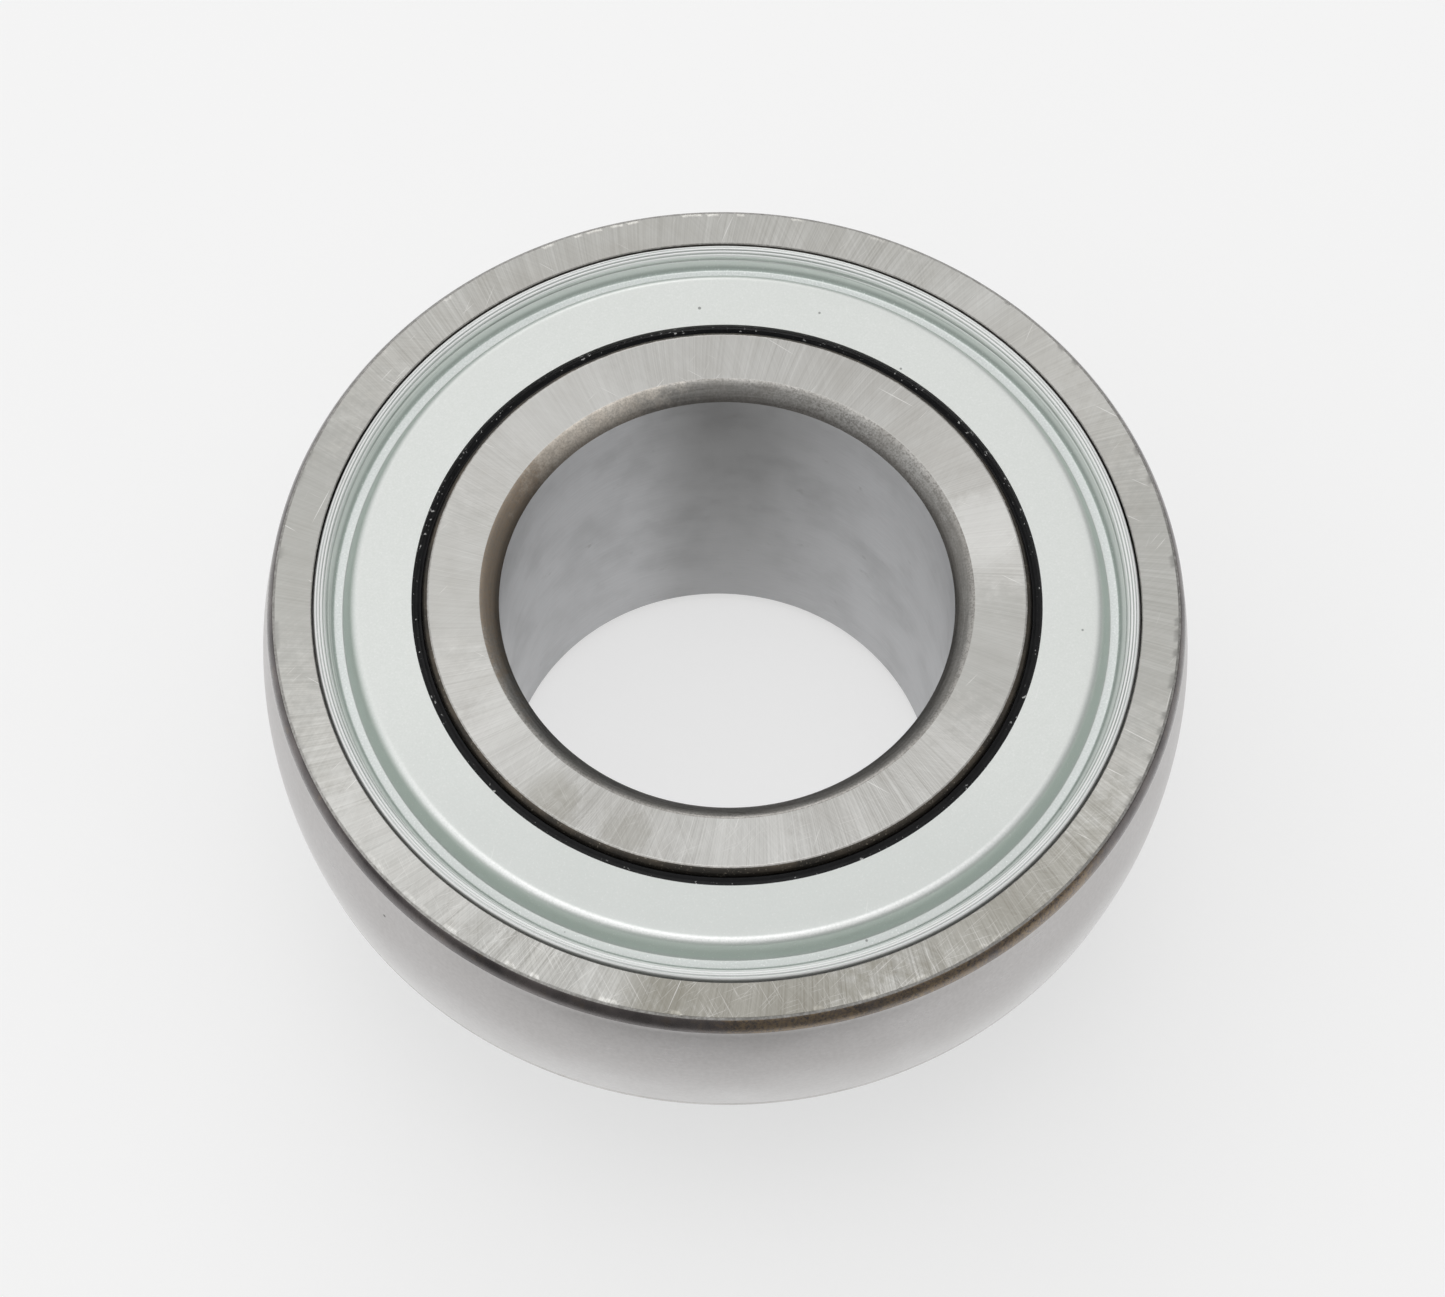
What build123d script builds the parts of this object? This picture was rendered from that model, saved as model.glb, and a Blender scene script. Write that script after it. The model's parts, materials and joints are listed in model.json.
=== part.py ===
from build123d import *
import math
import os

# Insert ball bearing, 35 mm bore, in millimetres.
# The origin is the centre of the spherical outside, on the shaft axis.
# +Z runs along the axis, out of the short side of the inner ring.

# Driving dimensions: the standard 207 envelope
sphere_r = 36.0          # spherical outside, 72 diameter
outer_width = 17.0
bore_r = 17.5
short_side = 9.3         # centre to the inner ring's short end face
long_side = 25.7         # centre to the inner ring's extended end face

# Balls
ball_count = 9
ball_r = 7 / 16 * 25.4 / 2
pitch_r = 26.75
ball_play = 0.02         # radial gap from ball to raceway, each side

# Outer ring
face_outer_r = 34.7      # outside edge of the ground side face
corner_height = 1.45     # axial height of the rounded outside corner
corner_bulge = 0.15      # how far the corner bows out from a straight chamfer
outer_land_r = 30.0
outer_groove_r = 5.84
recess_r = 31.83         # mouth of the seal recess
undercut_r = 32.08
undercut_top = 0.45      # axial depth of the mouth above the undercut
undercut_slope = 0.45
seat_z = 6.25            # floor of the seal recess

# Inner ring
inner_land_r = 23.35
inner_groove_r = 5.72
shoulder_corner = (0.45, 0.55)   # radial and axial size of the outside corner
shoulder_bulge = 0.09
bore_corner = (1.4, 1.2)         # radial and axial size of the bore corner
bore_bulge = 0.12

# Grub screws, M8 x 1 with a cup point
screw_r = 3.92
screw_hole_r = 4.0
screw_length = 7.0
screw_gap = 0.15         # how far the backed-out screw stops short of the bore
screw_from_end = 6.7
screw_angles = (-150.0, -30.0)
screw_chamfer = 0.5
socket_flats = 4.0
socket_depth = 3.2
cup_r = 2.2
cup_depth = 1.0

# Pressed cage: two ribbons riveted back to back
cage_sheet = 0.8
pocket_play = 0.12
cage_half_width = 1.85
cage_height = 8.0
rivet_r = 0.8
rivet_play = 0.02
rivet_head_r = 1.4
rivet_head_height = 0.6
rivet_head_round = 0.35

# Seals, each with an outer sheet, a rubber lip and an inner sheet
seal_sheet = 0.4
seal_top = 8.75          # outer surface of the flat of the outer sheet
outer_hole_r = 24.15
inner_hole_r = 24.75
rubber_thickness = 1.0
rubber_outer_r = 27.9
lip_gap = 0.05           # from the lip to the inner ring's land

os.makedirs("parts", exist_ok=True)


def save(part, name):
    part.label = name
    export_step(part, f"parts/{name}.step")


def bowed(start, end, bulge):
    """Middle point of a shallow arc that bows to the left of start to end."""
    run = (end[0] - start[0], end[1] - start[1])
    length = math.hypot(run[0], run[1])
    middle_r = (start[0] + end[0]) / 2 - run[1] / length * bulge
    middle_z = (start[1] + end[1]) / 2 + run[0] / length * bulge
    return (middle_r, middle_z)


# Outer ring: one half-section, mirrored about the middle plane and turned
half_width = outer_width / 2
corner_z = half_width - corner_height
corner_r = math.sqrt(sphere_r**2 - corner_z**2)
outer_groove_bottom = pitch_r + ball_r + ball_play
outer_groove_centre = outer_groove_bottom - outer_groove_r
outer_groove_z = math.sqrt(outer_groove_r**2 - (outer_land_r - outer_groove_centre) ** 2)
undercut_z = half_width - undercut_top

with BuildPart() as outer_ring:
    with BuildSketch(Plane.XZ):
        with BuildLine():
            ThreePointArc((corner_r, -corner_z), (sphere_r, 0), (corner_r, corner_z))
            corner_middle = bowed((face_outer_r, half_width), (corner_r, corner_z), corner_bulge)
            ThreePointArc((corner_r, corner_z), corner_middle, (face_outer_r, half_width))
            Polyline(
                (face_outer_r, half_width),
                (recess_r, half_width),
                (recess_r, undercut_z),
                (undercut_r, undercut_z - undercut_slope),
                (undercut_r, seat_z),
                (outer_land_r, seat_z),
                (outer_land_r, outer_groove_z),
            )
            ThreePointArc(
                (outer_land_r, outer_groove_z),
                (outer_groove_bottom, 0),
                (outer_land_r, -outer_groove_z),
            )
            Polyline(
                (outer_land_r, -outer_groove_z),
                (outer_land_r, -seat_z),
                (undercut_r, -seat_z),
                (undercut_r, undercut_slope - undercut_z),
                (recess_r, -undercut_z),
                (recess_r, -half_width),
                (face_outer_r, -half_width),
            )
            ThreePointArc(
                (face_outer_r, -half_width),
                (corner_middle[0], -corner_middle[1]),
                (corner_r, -corner_z),
            )
        make_face()
    revolve(axis=Axis.Z)
save(outer_ring.part, "outer_ring")


# Inner ring: the raceway sits at the centre and the ring runs on past one side
inner_groove_bottom = pitch_r - ball_r - ball_play
inner_groove_centre = inner_groove_bottom + inner_groove_r
inner_groove_z = math.sqrt(inner_groove_r**2 - (inner_groove_centre - inner_land_r) ** 2)
shoulder_r = inner_land_r - shoulder_corner[0]
mouth_r = bore_r + bore_corner[0]
screw_z = screw_from_end - long_side


def screw_plane(angle, radius):
    """A plane that faces outwards at a radius on a grub screw's axis."""
    out = Vector(1, 0, 0).rotate(Axis.Z, angle)
    return Plane(origin=out * radius + Vector(0, 0, screw_z), z_dir=out)


with BuildPart() as inner_ring:
    with BuildSketch(Plane.XZ):
        with BuildLine():
            land_top = (inner_land_r, short_side - shoulder_corner[1])
            face_edge = (shoulder_r, short_side)
            ThreePointArc(face_edge, bowed(face_edge, land_top, shoulder_bulge), land_top)
            Line(land_top, (inner_land_r, inner_groove_z))
            ThreePointArc(
                (inner_land_r, inner_groove_z),
                (inner_groove_bottom, 0),
                (inner_land_r, -inner_groove_z),
            )
            land_end = (inner_land_r, shoulder_corner[1] - long_side)
            end_edge = (shoulder_r, -long_side)
            Line((inner_land_r, -inner_groove_z), land_end)
            ThreePointArc(land_end, bowed(land_end, end_edge, shoulder_bulge), end_edge)
            end_mouth = (mouth_r, -long_side)
            bore_end = (bore_r, bore_corner[1] - long_side)
            Line(end_edge, end_mouth)
            ThreePointArc(end_mouth, bowed(end_mouth, bore_end, bore_bulge), bore_end)
            bore_top = (bore_r, short_side - bore_corner[1])
            top_mouth = (mouth_r, short_side)
            Line(bore_end, bore_top)
            ThreePointArc(bore_top, bowed(bore_top, top_mouth, bore_bulge), top_mouth)
            Line(top_mouth, face_edge)
        make_face()
    revolve(axis=Axis.Z)
    for angle in screw_angles:
        with BuildSketch(screw_plane(angle, bore_r / 2)):
            Circle(screw_hole_r)
        extrude(amount=inner_land_r, mode=Mode.SUBTRACT)
save(inner_ring.part, "inner_ring")


# Grub screws, backed out so that the bore is clear
screw_start = bore_r + screw_gap
with BuildPart() as grub_screws:
    for angle in screw_angles:
        with BuildSketch(screw_plane(angle, screw_start)):
            Circle(screw_r)
        extrude(amount=screw_length)
        with BuildSketch(screw_plane(angle, screw_start + screw_length - socket_depth)):
            RegularPolygon(socket_flats / 2, 6, major_radius=False)
        extrude(amount=socket_depth, mode=Mode.SUBTRACT)
        with BuildSketch(screw_plane(angle, screw_start)):
            Circle(cup_r)
        extrude(amount=cup_depth, taper=45, mode=Mode.SUBTRACT)
    rims = grub_screws.edges().filter_by(GeomType.CIRCLE)
    chamfer([rim for rim in rims if math.isclose(rim.radius, screw_r)], screw_chamfer)
save(grub_screws.part, "grub_screws")


# Balls
for number in range(ball_count):
    with BuildPart() as ball:
        ball_angle = math.radians(number * 360 / ball_count)
        with Locations((pitch_r * math.cos(ball_angle), pitch_r * math.sin(ball_angle), 0)):
            Sphere(ball_r)
    save(ball.part, f"ball_{number + 1}")


# Cage
cage_inner_r = pitch_r - cage_half_width
cage_outer_r = pitch_r + cage_half_width
pocket_r = ball_r + pocket_play
rivet_offset = 180 / ball_count


def cage_half(side):
    """One ribbon of the cage, above the middle plane for side 1, below for side -1."""
    with BuildPart() as half:
        with BuildSketch(Plane.XY):
            Circle(cage_outer_r)
            Circle(cage_inner_r, mode=Mode.SUBTRACT)
        extrude(amount=side * cage_sheet)
        with PolarLocations(pitch_r, ball_count):
            Sphere(pocket_r + cage_sheet)
        with BuildSketch(Plane.XY):
            Circle(cage_outer_r)
            Circle(cage_inner_r, mode=Mode.SUBTRACT)
        extrude(amount=side * cage_height, mode=Mode.INTERSECT)
        with PolarLocations(pitch_r, ball_count):
            Sphere(pocket_r, mode=Mode.SUBTRACT)
        with PolarLocations(pitch_r, ball_count, start_angle=rivet_offset):
            Cylinder(rivet_r + rivet_play, 4 * cage_sheet, mode=Mode.SUBTRACT)
    return half.part


save(cage_half(1), "cage_upper")
save(cage_half(-1), "cage_lower")

with BuildPart() as cage_rivets:
    head_centre = cage_sheet + rivet_head_height / 2
    with PolarLocations(pitch_r, ball_count, start_angle=rivet_offset):
        Cylinder(rivet_r, 2 * cage_sheet)
        with Locations((0, 0, head_centre), (0, 0, -head_centre)):
            Cylinder(rivet_head_r, rivet_head_height)
    head_top = cage_sheet + rivet_head_height
    rims = cage_rivets.edges().filter_by(GeomType.CIRCLE)
    tops = [rim for rim in rims if math.isclose(abs(rim.center().Z), head_top, abs_tol=1e-4)]
    fillet(tops, rivet_head_round)
save(cage_rivets.part, "cage_rivets")


# Seals: each sheet is a bent centre line with a thickness, turned about the axis
def bent_sheet(points, bends, side):
    """A turned sheet; points run outwards, and bends are the centre line's bend radii."""
    with BuildPart() as sheet:
        with BuildSketch(Plane.XZ):
            with BuildLine():
                FilletPolyline([(r, side * z) for r, z in points], radius=bends)
                offset(amount=seal_sheet / 2, side=Side.BOTH, closed=True)
            make_face()
        revolve(axis=Axis.Z)
    return sheet.part


sheet_middle = seal_sheet / 2
inner_flange_z = seat_z + sheet_middle
outer_flange_z = inner_flange_z + seal_sheet
outer_flat_z = seal_top - sheet_middle
inner_flat_z = seal_top - 2 * seal_sheet - rubber_thickness + sheet_middle
rim_peak_z = half_width + 0.03

outer_sheet_points = (
    (outer_hole_r + sheet_middle, outer_flat_z),
    (28.63, outer_flat_z),
    (29.37, outer_flange_z),
    (30.30, outer_flange_z),
    (31.12, rim_peak_z),
    (31.75, 7.30),
)
outer_sheet_bends = (0.6, 0.3, 0.35, 0.25)
inner_sheet_points = (
    (inner_hole_r + sheet_middle, inner_flat_z),
    (28.50, inner_flat_z),
    (28.85, inner_flange_z),
    (31.55, inner_flange_z),
)
inner_sheet_bends = (0.35, 0.3)

rubber_top = seal_top - seal_sheet
rubber_bottom = rubber_top - rubber_thickness
lip_r = inner_land_r + lip_gap
lip_points = (
    (rubber_outer_r, rubber_bottom),
    (rubber_outer_r, rubber_top),
    (outer_hole_r + 0.10, rubber_top),
    (outer_hole_r - 0.08, rubber_top - 0.06),
    (lip_r + 0.35, rubber_top + 0.05),
    (lip_r + 0.12, rubber_top + 0.24),
    (lip_r + 0.02, rubber_top + 0.20),
    (lip_r, rubber_top),
    (lip_r + 0.02, rubber_top - 0.25),
    (lip_r + 0.30, rubber_top - 0.55),
    (inner_hole_r - 0.05, rubber_bottom),
)

for place, side in (("upper", 1), ("lower", -1)):
    outer_sheet = bent_sheet(outer_sheet_points, outer_sheet_bends, side)
    save(outer_sheet, f"{place}_seal_outer_washer")
    with BuildPart() as lip:
        with BuildSketch(Plane.XZ):
            with BuildLine():
                Polyline([(r, side * z) for r, z in lip_points], close=True)
            make_face()
        revolve(axis=Axis.Z)
    save(lip.part, f"{place}_seal_lip")
    inner_sheet = bent_sheet(inner_sheet_points, inner_sheet_bends, side)
    save(inner_sheet, f"{place}_seal_inner_washer")
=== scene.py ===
"""Insert ball bearing: ground rings, pressed zinc seals with rubber lips, cage, balls and grub screws.

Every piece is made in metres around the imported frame. Outlines are written in millimetres as (r, z), where
r is the distance from the shaft axis and z runs along it, out of the short side of the inner ring.
"""
import json
import math

import bmesh
import bpy
from mathutils import Matrix, Vector


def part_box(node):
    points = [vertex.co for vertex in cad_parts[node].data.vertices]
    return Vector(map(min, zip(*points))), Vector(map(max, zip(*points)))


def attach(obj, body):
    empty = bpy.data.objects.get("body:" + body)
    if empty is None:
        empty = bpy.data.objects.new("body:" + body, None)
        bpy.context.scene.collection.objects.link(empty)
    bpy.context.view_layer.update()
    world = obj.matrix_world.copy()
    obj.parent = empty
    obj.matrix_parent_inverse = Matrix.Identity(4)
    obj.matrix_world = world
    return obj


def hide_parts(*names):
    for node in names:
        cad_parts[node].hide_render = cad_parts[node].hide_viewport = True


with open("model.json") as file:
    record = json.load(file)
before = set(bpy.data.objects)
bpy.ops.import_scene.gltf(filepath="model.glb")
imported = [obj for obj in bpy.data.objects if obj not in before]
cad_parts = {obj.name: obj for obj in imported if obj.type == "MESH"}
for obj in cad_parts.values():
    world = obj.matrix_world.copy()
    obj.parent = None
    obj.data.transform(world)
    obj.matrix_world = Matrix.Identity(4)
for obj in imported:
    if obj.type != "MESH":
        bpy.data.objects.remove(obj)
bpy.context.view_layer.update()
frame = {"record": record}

MM = 0.001
TURN = 2 * math.pi


# ---------------------------------------------------------------- sizes, in millimetres

def span(node):
    """Lowest and highest corner of a CAD node."""
    low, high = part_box(node)
    return low / MM, high / MM


_, ring_high = span("outer_ring")
inner_low, inner_high = span("inner_ring")
_, sheet_high = span("upper_seal_outer_washer")
bore_mount = [m for m in frame["record"]["mounts"] if m["name"] == "bore"][0]

HALF_WIDTH = ring_high.z
SPHERE_R = min(ring_high.x, ring_high.y)
FACE_OUTER_R = 34.7
CORNER_HEIGHT = 1.45
CORNER_Z = HALF_WIDTH - CORNER_HEIGHT
CORNER_R = math.sqrt(SPHERE_R**2 - CORNER_Z**2)
RECESS_R = 31.83
UNDERCUT_R = 32.08
UNDERCUT_TOP = 7.60
UNDERCUT_MOUTH = 8.05              # where the undercut's slope meets the recess
SEAT_Z = 6.25
OUTER_LAND_R = 30.0
OUTER_GROOVE = (32.326, 4.665)     # bottom radius, half width

SHORT_SIDE = inner_high.z
LONG_SIDE = -inner_low.z
BORE_R = bore_mount["dims"]["r_mm"]
INNER_LAND_R = 23.35
INNER_GROOVE = (21.174, 4.489)
SHOULDER = (0.45, 0.55)            # radial and axial size of the outside corner
MOUTH = (1.4, 1.2)                 # radial and axial size of the bore corner

SHEET = 0.4
SEAL_TOP = sheet_high.z
RIDGES = (31.40, 31.155, 30.91, 30.665)   # where the rolling tool left lines on the rim's slope
RIDGE_PITCH = 0.245
LIP_R = INNER_LAND_R + 0.05

BALL_COUNT = 9
BALL_R = 7 / 16 * 25.4 / 2
PITCH_R = 26.75
CAGE_SHEET = 0.8
CAGE_HALF_WIDTH = 1.85
POCKET_R = BALL_R + 0.12

SCREW_R = 3.92
SCREW_HOLE_R = 4.0
SCREW_LENGTH = 7.0
SCREW_START = BORE_R + 0.15
SCREW_Z = 6.7 - LONG_SIDE
SCREW_ANGLES = (-150.0, -30.0)
THREAD_PITCH = 1.0
THREAD_DEPTH = 0.45

EDGE = 0.05                        # the bright bevel that grinding leaves on an edge


# ---------------------------------------------------------------- node helpers

def add(tree, kind, values=None, **settings):
    """Adds a node, sets its properties, and sets or links its inputs."""
    node = tree.nodes.new(kind)
    for name, value in settings.items():
        setattr(node, name, value)
    for key, value in (values or {}).items():
        if isinstance(value, bpy.types.NodeSocket):
            tree.links.new(value, node.inputs[key])
        else:
            node.inputs[key].default_value = value
    return node


def maths(tree, operation, first, second=0.0, third=0.0):
    return add(tree, "ShaderNodeMath", {0: first, 1: second, 2: third}, operation=operation).outputs[0]


def vector_maths(tree, operation, first, second=(0, 0, 0)):
    return add(tree, "ShaderNodeVectorMath", {0: first, 1: second}, operation=operation).outputs["Vector"]


def combine(tree, x, y, z):
    return add(tree, "ShaderNodeCombineXYZ", {"X": x, "Y": y, "Z": z}).outputs[0]


def parts_of(tree, vector):
    """The outputs X, Y and Z of a vector."""
    return add(tree, "ShaderNodeSeparateXYZ", {0: vector}).outputs


def scaled(tree, vector, factor):
    return add(tree, "ShaderNodeVectorMath", {0: vector, "Scale": factor}, operation="SCALE").outputs[0]


def length(tree, vector):
    return add(tree, "ShaderNodeVectorMath", {0: vector}, operation="LENGTH").outputs["Value"]


def on_circle(tree, radius, angle, height):
    """The place at this radius and angle around the shaft, at this height along it."""
    x = maths(tree, "MULTIPLY", radius, maths(tree, "COSINE", angle))
    y = maths(tree, "MULTIPLY", radius, maths(tree, "SINE", angle))
    return combine(tree, x, y, height)


def seeded_noise(tree, values):
    """Noise whose pattern changes with W."""
    return add(tree, "ShaderNodeTexNoise", values, noise_dimensions="4D").outputs["Fac"]


def remap(tree, value, low, high, to_low=0.0, to_high=1.0, smooth=False):
    kind = "SMOOTHSTEP" if smooth else "LINEAR"
    limits = {"Value": value, "From Min": low, "From Max": high, "To Min": to_low, "To Max": to_high}
    return add(tree, "ShaderNodeMapRange", limits, interpolation_type=kind).outputs[0]


def new_group(name, kind, inputs, outputs):
    """An empty node group. inputs are (name, socket type, default or None), outputs (name, socket type)."""
    tree = bpy.data.node_groups.new(name, kind)
    for label, socket, default in inputs:
        made = tree.interface.new_socket(name=label, in_out="INPUT", socket_type="NodeSocket" + socket)
        if default is not None:
            made.default_value = default
    for label, socket in outputs:
        tree.interface.new_socket(name=label, in_out="OUTPUT", socket_type="NodeSocket" + socket)
    return tree, tree.nodes.new("NodeGroupInput").outputs, tree.nodes.new("NodeGroupOutput").inputs


# ---------------------------------------------------------------- camera and studio

CAMERA_BACK = 162.14               # in front of the shaft axis
CAMERA_UP = 312.85                 # above the outer ring's upper face
CAMERA_PITCH = math.radians(63.236)
CAMERA_YAW = math.radians(-0.078)
CAMERA_ROLL = math.radians(-2.137)
FOCAL_SHARE = 4600 / 1445          # focal length in image widths
SENSOR = 36.0
TABLE_HALF = 1.5
WALL_LIGHT = 0.42
CEILING_LIGHT = 1.00
SKYLIGHT = 1.0
TABLE_LIT = (-0.048, -0.085)       # painted shade: in front, the table darkens in reflections between these, in metres; the camera sees it lit
TABLE_GLOW = 0.535
BORE_GLOW = 0.61                   # painted light: extra glow on the table inside the bore, for the light the bore pipes down


def make_camera():
    ahead = Vector((
        math.sin(CAMERA_YAW) * math.cos(CAMERA_PITCH),
        math.cos(CAMERA_YAW) * math.cos(CAMERA_PITCH),
        -math.sin(CAMERA_PITCH),
    ))
    level = Vector((math.cos(CAMERA_YAW), -math.sin(CAMERA_YAW), 0))
    down = ahead.cross(level)
    right = math.cos(CAMERA_ROLL) * level + math.sin(CAMERA_ROLL) * down
    up = math.sin(CAMERA_ROLL) * level - math.cos(CAMERA_ROLL) * down
    data = bpy.data.cameras.new("camera")
    data.sensor_width = SENSOR
    data.lens = FOCAL_SHARE * SENSOR
    data.clip_start, data.clip_end = 0.01, 20.0
    camera = bpy.data.objects.new("camera", data)
    bpy.context.scene.collection.objects.link(camera)
    place = Vector((0, -CAMERA_BACK, HALF_WIDTH + CAMERA_UP)) * MM
    camera.matrix_world = Matrix.Translation(place) @ Matrix((right, up, -ahead)).transposed().to_4x4()
    bpy.context.scene.camera = camera


def table_finish():
    """White laminate, lit from below a little, so that shadows on it stay pale, with painted light inside the
    bore and painted shade in front in reflections.
    """
    material = bpy.data.materials.new("white_table")
    material.use_nodes = True
    tree = material.node_tree
    shader = tree.nodes["Principled BSDF"]
    point = add(tree, "ShaderNodeTexCoord").outputs["Object"]
    cloud = add(tree, "ShaderNodeTexNoise", {"Vector": point, "Scale": 30.0, "Detail": 3.0}).outputs["Fac"]
    white = add(tree, "ShaderNodeMix", {
        "Factor": cloud, "A": (0.425, 0.425, 0.425, 1), "B": (0.435, 0.435, 0.435, 1),
    }, data_type="RGBA")
    parts = parts_of(tree, point)
    # Painted shade: every ray but the camera's sees the table darker in front.
    lit = remap(tree, parts["Y"], TABLE_LIT[1], TABLE_LIT[0], 0.12, 1.0, smooth=True)
    lit = maths(tree, "MAXIMUM", lit, add(tree, "ShaderNodeLightPath").outputs["Is Camera Ray"])
    flat = combine(tree, parts["X"], parts["Y"], 0.0)
    away = length(tree, flat)
    # Painted light: the table glows more inside the bore.
    glow = remap(tree, away, BORE_R * MM, INNER_LAND_R * MM, BORE_GLOW, TABLE_GLOW)
    glow = maths(tree, "MULTIPLY", glow, lit)
    shaded = scaled(tree, white.outputs["Result"], maths(tree, "MULTIPLY_ADD", lit, 0.7, 0.3))
    tree.links.new(shaded, shader.inputs["Base Color"])
    tree.links.new(scaled(tree, (1.0, 1.0, 1.0), glow), shader.inputs["Emission Color"])
    shader.inputs["Roughness"].default_value = 0.6
    shader.inputs["Specular IOR Level"].default_value = 0.2
    shader.inputs["Emission Strength"].default_value = 1.0
    return material


def make_table():
    z = -LONG_SIDE * MM
    signs = ((-1, -1), (1, -1), (1, 1), (-1, 1))
    mesh = bpy.data.meshes.new("table")
    mesh.from_pydata([(x * TABLE_HALF, y * TABLE_HALF, z) for x, y in signs], [], [(0, 1, 2, 3)])
    mesh.materials.append(table_finish())
    table = bpy.data.objects.new("table", mesh)
    bpy.context.scene.collection.objects.link(table)


def make_light(name, place, size, watts, tint=(1, 1, 1)):
    data = bpy.data.lights.new(name, "AREA")
    data.shape = "RECTANGLE"
    data.size, data.size_y = size
    data.energy = watts
    data.color = tint
    lamp = bpy.data.objects.new(name, data)
    bpy.context.scene.collection.objects.link(lamp)
    lamp.location = place
    lamp.rotation_euler = (-Vector(place)).to_track_quat("-Z", "Y").to_euler()


def make_world():
    """A room with duller walls, a bright ceiling and a skylight overhead."""
    world = bpy.data.worlds.new("white_room")
    bpy.context.scene.world = world
    world.use_nodes = True
    tree = world.node_tree
    tree.nodes.clear()
    where = add(tree, "ShaderNodeTexCoord").outputs["Generated"]
    parts = parts_of(tree, where)
    bright = remap(tree, parts["Z"], 0.05, 1.0, WALL_LIGHT, CEILING_LIGHT)
    overhead = remap(tree, parts["Z"], 0.965, 0.99, smooth=True)
    bright = maths(tree, "MULTIPLY_ADD", overhead, SKYLIGHT, bright)
    front = remap(tree, parts["Y"], -0.35, -0.9, smooth=True)
    bright = maths(tree, "MULTIPLY", bright, maths(tree, "MULTIPLY_ADD", front, -0.35, 1.0))
    left = maths(tree, "MULTIPLY_ADD", parts["X"], -0.30, 1.0)
    bright = maths(tree, "MULTIPLY", bright, left)
    tint = scaled(tree, (1.0, 1.0, 1.0), bright)
    back = add(tree, "ShaderNodeBackground", {"Color": tint, "Strength": 1.0})
    add(tree, "ShaderNodeOutputWorld", {"Surface": back.outputs[0]})


make_camera()
make_table()
make_world()
make_light("back_softbox", (-0.12, 0.97, 0.50), (0.5, 0.35), 0.8, (1.0, 0.99, 0.98))
bpy.context.scene.view_settings.view_transform = "Standard"


# ---------------------------------------------------------------- surface effects, shared by the finishes

def polar(tree, point, twist=0.0):
    """Radius in millimetres, the unit vector around the shaft (turned by twist per millimetre), and z."""
    split = parts_of(tree, point)
    flat = combine(tree, split["X"], split["Y"], 0.0)
    radius = maths(tree, "DIVIDE", length(tree, flat), MM)
    turned = add(tree, "ShaderNodeVectorRotate", {
        "Vector": flat, "Angle": maths(tree, "MULTIPLY", radius, twist),
    }, rotation_type="Z_AXIS").outputs[0]
    return radius, vector_maths(tree, "NORMALIZE", turned), maths(tree, "DIVIDE", split["Z"], MM)


def wheel_marks_group():
    """Marks that cross a ring's face from edge to edge, swirled, as a cup wheel leaves them."""
    tree, take, give = new_group("wheel_marks", "ShaderNodeTree", [
        ("Point", "Vector", None), ("Lines", "Float", 900.0), ("Breaks", "Float", 0.3),
        ("Swirl", "Float", 0.05), ("Seed", "Float", 0.0),
    ], [("Marks", "Float")])
    radius, around, z = polar(tree, take["Point"], take["Swirl"])
    ring = scaled(tree, around, maths(tree, "DIVIDE", take["Lines"], TURN))
    lift = combine(tree, 0.0, 0.0, maths(tree, "MULTIPLY", radius, take["Breaks"]))
    noise = seeded_noise(tree, {
        "Vector": vector_maths(tree, "ADD", ring, lift), "Scale": 1.0, "Detail": 2.0, "Roughness": 0.65,
        "W": maths(tree, "ADD", take["Seed"], maths(tree, "SIGN", z)),
    })
    tree.links.new(noise, give["Marks"])
    return tree


def round_marks_group():
    """Marks that run around the shaft: from a turned, honed or rolled surface."""
    tree, take, give = new_group("round_marks", "ShaderNodeTree", [
        ("Point", "Vector", None), ("Lines per mm", "Float", 8.0), ("Breaks", "Float", 6.0),
        ("Seed", "Float", 0.0),
    ], [("Marks", "Float")])
    radius, around, z = polar(tree, take["Point"])
    ring = scaled(tree, around, take["Breaks"])
    across = maths(tree, "MULTIPLY", maths(tree, "ADD", radius, z), take["Lines per mm"])
    place = vector_maths(tree, "ADD", ring, combine(tree, 0.0, 0.0, across))
    noise = seeded_noise(tree, {"Vector": place, "Scale": 1.0, "Detail": 2.0, "W": take["Seed"]})
    tree.links.new(noise, give["Marks"])
    return tree


def stray_scratches_group():
    """Sparse thin scratches in one direction, from handling."""
    tree, take, give = new_group("stray_scratches", "ShaderNodeTree", [
        ("Point", "Vector", None), ("Angle", "Float", 0.6), ("Length mm", "Float", 6.0),
        ("Width mm", "Float", 0.12), ("Share", "Float", 0.06), ("Seed", "Float", 0.0),
    ], [("Scratches", "Float")])
    turned = add(tree, "ShaderNodeVectorRotate", {
        "Vector": take["Point"], "Angle": take["Angle"],
    }, rotation_type="Z_AXIS").outputs[0]
    bend = add(tree, "ShaderNodeTexNoise", {"Vector": turned, "Scale": 60.0, "Detail": 0.0}).outputs["Fac"]
    split = parts_of(tree, turned)
    long = maths(tree, "DIVIDE", split["X"], maths(tree, "MULTIPLY", take["Length mm"], MM))
    wide = maths(tree, "DIVIDE", split["Y"], maths(tree, "MULTIPLY", take["Width mm"], MM))
    wide = maths(tree, "ADD", wide, maths(tree, "MULTIPLY", bend, 18.0))
    noise = seeded_noise(tree, {
        "Vector": combine(tree, long, wide, 0.0), "Scale": 1.0, "Detail": 0.0, "W": take["Seed"],
    })
    edge = maths(tree, "SUBTRACT", 0.86, take["Share"])
    lines = remap(tree, noise, edge, maths(tree, "ADD", edge, 0.05), smooth=True)
    tree.links.new(lines, give["Scratches"])
    return tree


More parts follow.
